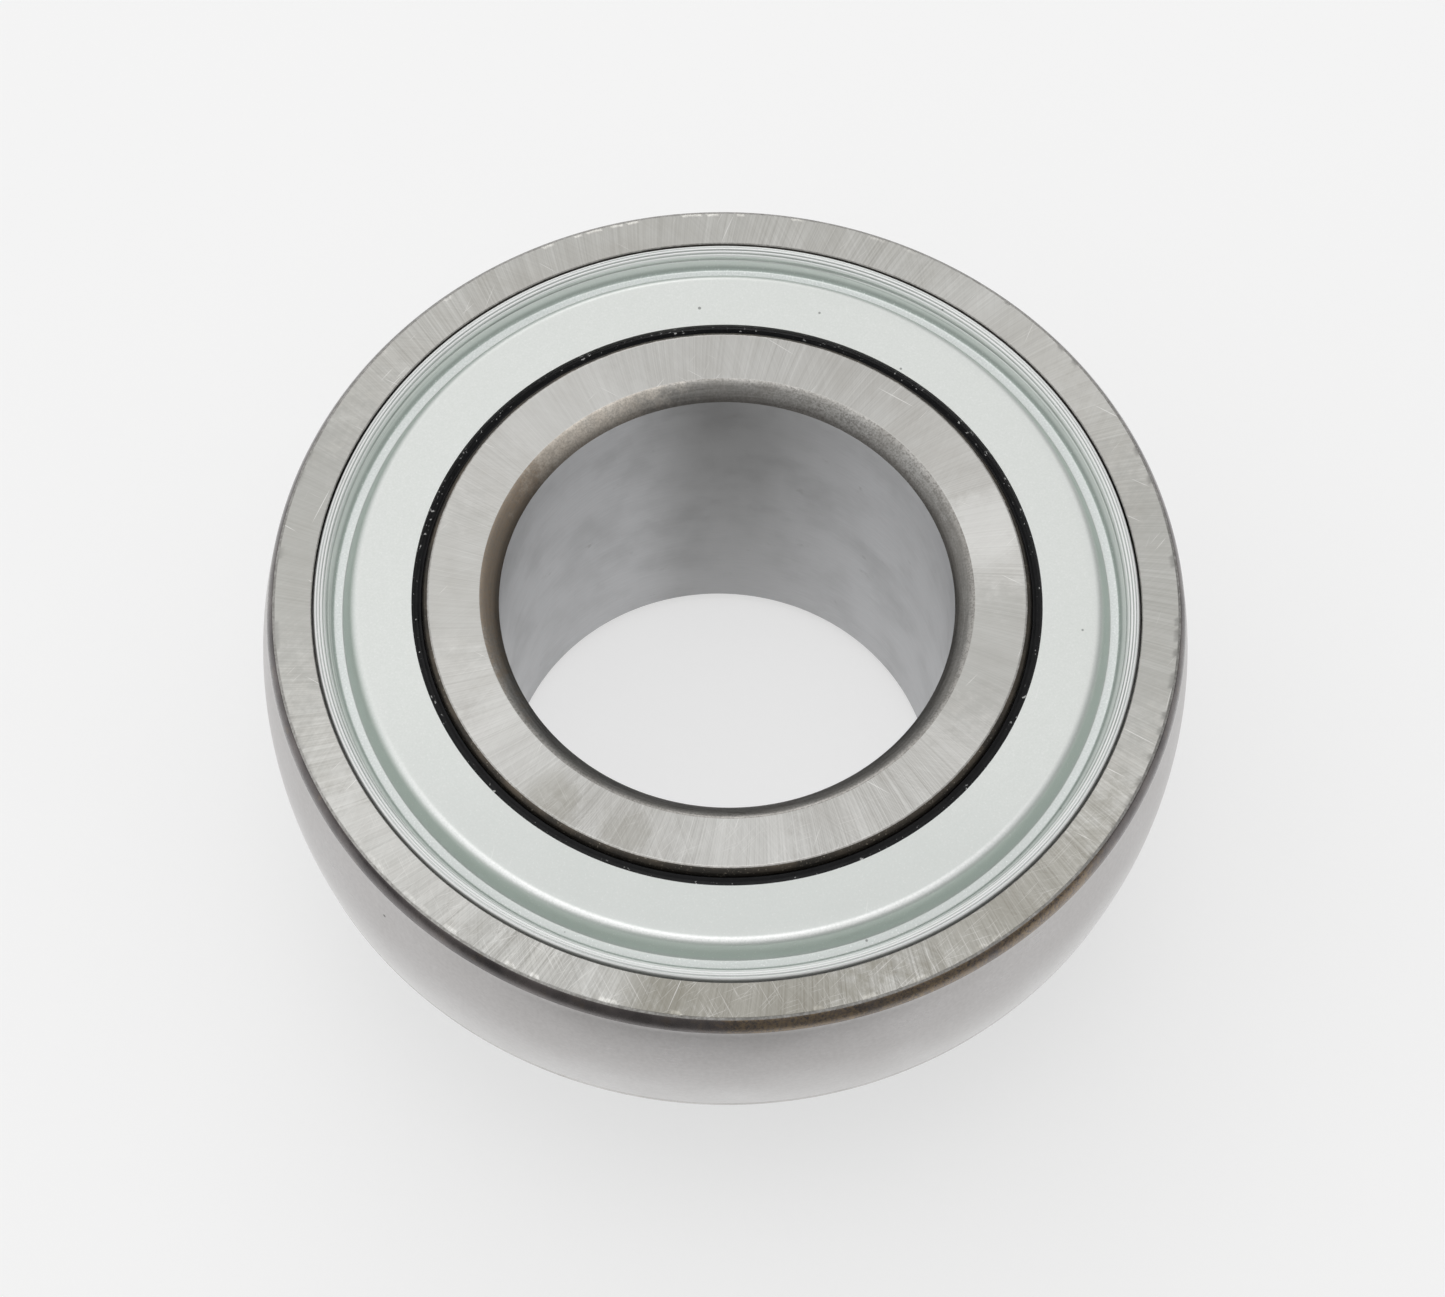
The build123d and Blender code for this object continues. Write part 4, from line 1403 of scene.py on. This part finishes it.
def hole_cutters():
    """Plugs the size of the tapped holes, with a countersink where they break out."""
    flare, near, far = 0.45, BORE_R - 4.0, INNER_LAND_R + 3.0
    flare_r = SCREW_HOLE_R + 1.4 * flare
    made = Outline()
    made.run([(0.0, near), (SCREW_HOLE_R, near)], 0)
    made.run(straight((SCREW_HOLE_R, near), (SCREW_HOLE_R, INNER_LAND_R - flare), 3), 0)
    made.run([(flare_r, INNER_LAND_R + 0.4 * flare), (flare_r, far), (0.0, far)], 0)
    cutter = make("hole_cutters", made.mesh("hole_cutter_outline"), TURNED, [recess_steel], {"Steps": 72})
    place_on_screw_axes(cutter)
    return cutter


def make_inner_ring():
    finishes = [
        inner_face, bright_edge, shoulder_scale, land_steel, raceway_steel, bore_corner, bore_steel,
    ]
    start = inner_ring_outline().mesh("inner_ring_outline")
    ring = make("inner_ring_turned", start, TURNED, finishes,
                {"Steps": 640, "Unevenness per m": 1500.0, "Seed": 2.0})
    cutter = hole_cutters()
    cut = ring.modifiers.new("screw_holes", "BOOLEAN")
    cut.operation, cut.solver, cut.object = "DIFFERENCE", "EXACT", cutter
    cut.material_mode = "TRANSFER"
    mesh = made_mesh(ring)
    mesh.set_sharp_from_angle(angle=SHARP)
    bpy.data.objects.remove(cutter)
    settle(ring, "inner", "ring_steel", "inner_ring")


# ---------------------------------------------------------------- seals

FLAT, BEND, FLANGE = range(3)
RIDGE_WIDTH = 0.05
RIDGE_DEPTH = 0.075
RIDGE_STEP = 0.028
SHEET_STEP = 0.5                   # the longest step between points along a sheet
FLAT_END_R = 28.55
WALL_END_R = 29.62
FLANGE_END_R = 30.28
RUBBER = 1.0                       # thickness between the two sheets


def ridged_top(path):
    """The upper side of the outer sheet, with fine points on the rim and the rolling tool's lines cut in."""
    first = RIDGES[-1] - 0.25
    rest = [p for p in path if p[0] <= first]
    rise = [p for p in path if p[0] > first]
    smooth = offset(spaced(rest, SHEET_STEP) + spaced([rest[-1]] + rise, RIDGE_STEP)[1:], SHEET / 2)
    depths = [sum(math.exp(-((r - ridge) / RIDGE_WIDTH) ** 2) for ridge in RIDGES) for r, _ in smooth]
    return [(r, z - RIDGE_DEPTH * depth) for (r, z), depth in zip(smooth, depths)]


def sheet_outline(corners, radii, side, zone_of):
    """A bent sheet: its centre line thickened both ways, with the edges of a sheared cut."""
    path = rounded(corners, radii, 7)
    half, trim = SHEET / 2, 0.06
    bottom = offset(spaced(path, SHEET_STEP), -half)
    top = ridged_top(path) if zone_of else offset(spaced(path, SHEET_STEP), half)
    start_cut = [(bottom[0][0], bottom[0][1] + trim), (top[0][0], top[0][1] - trim)]
    loop = [(p, "bottom") for p in bottom] + [(p, "top") for p in reversed(top)]
    made = Outline()
    for (r, z), face in loop:
        zone = zone_of(r) if zone_of and face == "top" else FLAT
        made.run([(r, z)], zone, uneven=0.02)
    made.run([(start_cut[1][0] - 0.02, start_cut[1][1]), (start_cut[0][0] - 0.02, start_cut[0][1])], FLAT)
    if side < 0:
        mirrored = Outline()
        for (r, z), zone in zip(reversed(made.points), made.zones[-2::-1] + made.zones[-1:]):
            mirrored.run([(r, -z)], zone, uneven=0.02)
        return mirrored
    return made


def outer_sheet_zone(r):
    """Which finish the sheet's top has at radius r: the flat, its bend, the channel's flange or the rim."""
    if r < FLAT_END_R:
        return FLAT
    if r < WALL_END_R:
        return BEND
    return FLANGE if r < FLANGE_END_R else BEND


def make_seal(place, side):
    flange_z = SEAT_Z + 1.5 * SHEET
    flat_z = SEAL_TOP - SHEET / 2
    corners = [(24.17, flat_z), (28.63, flat_z), (29.37, flange_z), (30.30, flange_z), (31.05, 8.36)]
    corners += [(31.40, flat_z), (31.73, 7.30)]
    outline = sheet_outline(corners, (0.6, 0.3, 0.35, 0.3, 0.17), side, outer_sheet_zone)
    name = place + "_seal_outer_sheet"
    sheet = make(name, outline.mesh(name), TURNED, [zinc_flat, zinc_bend, zinc_flange],
                 {"Steps": 400, "Unevenness per m": 160.0, "Seed": 3.0 + side})
    settle(sheet, "outer", "zinc_sheet", place + "_seal_outer_washer")

    back_z = SEAL_TOP - 2.5 * SHEET - RUBBER + SHEET
    corners = [(24.77, back_z), (28.50, back_z), (28.85, SEAT_Z + SHEET / 2), (31.55, SEAT_Z + SHEET / 2)]
    outline = sheet_outline(corners, (0.35, 0.3), side, None)
    name = place + "_seal_inner_sheet"
    sheet = make(name, outline.mesh(name), TURNED, [zinc_flat], {"Steps": 360, "Unevenness per m": 160.0})
    settle(sheet, "outer", "zinc_sheet", place + "_seal_inner_washer")

    lip = make_lip(place, side)
    settle(lip, "outer", "nitrile_rubber", place + "_seal_lip")


def make_lip(place, side):
    """The rubber between the sheets, with a thin wiping lip that turns up along the inner ring."""
    top = SEAL_TOP - SHEET - 0.005
    bottom = top - 0.99
    root_r = 27.9
    corners = [
        (root_r, top), (24.25, top), (24.07, top - 0.06),
        (LIP_R + 0.35, top + 0.05), (LIP_R + 0.12, top + 0.24), (LIP_R + 0.02, top + 0.20),
        (LIP_R, top), (LIP_R + 0.02, top - 0.25), (LIP_R + 0.30, top - 0.55),
        (24.70, bottom), (root_r, bottom),
    ]
    radii = (0.1, 0.25, 0.25, 0.03, 0.04, 0.1, 0.1, 0.15, 0.15)
    path = spaced(rounded(corners, radii, 4), 0.5)
    if side < 0:
        path = flip(path)
    made = Outline()
    for r, z in path:
        made.run([(r, z)], 0, uneven=0.07 if r < 24.1 else 0.0)
    name = place + "_seal_rubber"
    return make(name, made.mesh(name), TURNED, [rubber],
                {"Steps": 960, "Unevenness per m": 1100.0, "Seed": 7.0 + side}, math.radians(60))


# ---------------------------------------------------------------- balls and cage

def make_ball(number):
    angle = math.radians((number - 1) * 360 / BALL_COUNT)
    centre = (PITCH_R * MM * math.cos(angle), PITCH_R * MM * math.sin(angle), 0.0)
    start = bpy.data.meshes.new(f"ball_{number}_start")
    ball = make(f"ball_{number}_lapped", start, BALL, [ball_steel],
                {"Radius": BALL_R * MM, "Centre": centre})
    settle(ball, f"ball_{number}", "ball_steel", f"ball_{number}")


def ribbon_outline():
    """The cage sheet's section with rounded edges. z is the place within the sheet, 0 to CAGE_SHEET."""
    low, high = PITCH_R - CAGE_HALF_WIDTH, PITCH_R + CAGE_HALF_WIDTH
    bend, cut, top = 0.12, 0.035, CAGE_SHEET
    made = Outline()
    made.run(straight((low + bend, 0.0), (high - bend, 0.0), 14), 0)
    made.run(arc((high - bend, 0.0), (high - cut, cut), (high, bend), 3), 0)
    made.run(straight((high, bend), (high, top - bend), 2), 0)
    made.run(arc((high, top - bend), (high - cut, top - cut), (high - bend, top), 3), 0)
    made.run(straight((high - bend, top), (low + bend, top), 14), 0)
    made.run(arc((low + bend, top), (low + cut, top - cut), (low, top - bend), 3), 0)
    made.run(straight((low, top - bend), (low, bend), 2), 0)
    made.run(arc((low, bend), (low + cut, cut), (low + bend, 0.0), 3), 0)
    return made


def make_cage():
    for place, side in (("upper", 1.0), ("lower", -1.0)):
        name = f"cage_{place}_ribbon"
        ribbon = make(name, ribbon_outline().mesh(name), RIBBON, [cage_steel], {
            "Pockets": BALL_COUNT, "Pitch Radius": PITCH_R * MM, "Pocket Radius": POCKET_R * MM, "Side": side,
        })
        settle(ribbon, "cage", "cage_steel", f"cage_{place}")
    head = [(0.8, 0.8), (1.4, 0.8), (1.4, 1.4), (0.0, 1.4)]
    upper = rounded([(0.8, 0.0)] + head, (0.02, 0.05, 0.35), 4)
    made = Outline()
    made.run(flip(upper), 0)
    made.run(upper, 0)
    rivets = make("cage_rivet_set", made.mesh("rivet_outline"), RING_OF_ITEMS, [rivet_steel], {
        "Count": BALL_COUNT, "Circle Radius": PITCH_R * MM, "Start Angle": math.pi / BALL_COUNT,
    })
    settle(rivets, "cage", "rivet_steel", "cage_rivets")


# ---------------------------------------------------------------- grub screws

def screw_outline():
    """A socket set screw along +Z: cup point at the bottom, threaded side, hexagon socket at the top."""
    start, end = SCREW_START, SCREW_START + SCREW_LENGTH
    socket_r, socket_bottom, cup_r, chamfer = 2.0, end - 3.2, 2.2, 0.5
    made = Outline()
    made.run([(0.0, start + 1.0), (cup_r - 1.0, start + 1.0), (cup_r, start)], 0)
    made.run([(cup_r, start), (SCREW_R - chamfer, start)], 0)
    made.run([(SCREW_R - chamfer, start), (SCREW_R, start + chamfer)], 0)
    made.run(straight((SCREW_R, start + chamfer), (SCREW_R, end - chamfer), 84), 0, thread=1.0)
    made.run([(SCREW_R, end - chamfer), (SCREW_R - chamfer, end)], 0)
    made.run([(SCREW_R - chamfer, end), (socket_r * 1.22, end)], 0)
    made.run([(socket_r, end - 0.25)], 0, hexagon=1.0)
    made.run(straight((socket_r, end - 0.25), (socket_r, socket_bottom), 4), 0, hexagon=1.0)
    made.run([(socket_r * 0.8, socket_bottom - 0.05), (0.0, socket_bottom - 0.5)], 0)
    return made


def make_screws():
    screws = make("grub_screw_pair", screw_outline().mesh("screw_outline"), THREADED, [black_oxide], {
        "Steps": 120, "Pitch": THREAD_PITCH * MM, "Depth": THREAD_DEPTH * MM,
    }, math.radians(30))
    place_on_screw_axes(screws)
    settle(screws, "inner", "screw_steel", "grub_screws")


# ---------------------------------------------------------------- burrs

def sliver_mesh():
    """A curled sliver of steel, 0.14 mm long before it is scaled."""
    long, wide, thick = 0.07, 0.022, 0.014
    rings = []
    for i in range(5):
        along = -1 + i / 2
        half = wide * (1 - 0.75 * along * along)
        lift = 0.02 * along * along
        x = along * long
        rings.append([(x, -half, lift), (x, half, lift), (x, 0, lift + thick)])
    points = [tuple(c * MM for c in point) for ring in rings for point in ring]
    faces = [(0, 2, 1), (12, 13, 14)]
    for i in range(4):
        for j in range(3):
            a, b = 3 * i + j, 3 * i + (j + 1) % 3
            faces.append((a, b, b + 3, a + 3))
    mesh = bpy.data.meshes.new("sliver")
    mesh.from_pydata(points, [], faces)
    return mesh


def make_burrs():
    """One set on each edge: its body, radius, height, count, angles, smallest and largest size, and seed."""
    shoulder_r = INNER_LAND_R - SHOULDER[0]
    edges = (
        ("outer_edge_burrs", "outer", FACE_OUTER_R, HALF_WIDTH - 0.035, 30, (-150, -40), 0.4, 1.2, 11),
        ("recess_edge_burrs", "outer", RECESS_R + 0.01, HALF_WIDTH - 0.04, 8, (-150, -30), 0.4, 1.2, 23),
        ("inner_edge_burrs", "inner", shoulder_r, SHORT_SIDE - 0.06, 40, (0, 360), 0.3, 1.0, 31),
    )
    for name, body, radius, height, count, ends, smallest, largest, seed in edges:
        burrs = make(name, sliver_mesh(), BURRS, [bright_edge], {
            "Count": count, "Edge Radius": radius * MM, "Height": height * MM, "Smallest": smallest,
            "Largest": largest, "Seed": seed, "From": math.radians(ends[0]), "To": math.radians(ends[1]),
        })
        settle(burrs, body, "ring_steel")


make_outer_ring()
make_inner_ring()
make_seal("upper", 1)
make_seal("lower", -1)
for ball_number in range(1, BALL_COUNT + 1):
    make_ball(ball_number)
make_cage()
make_screws()
make_burrs()
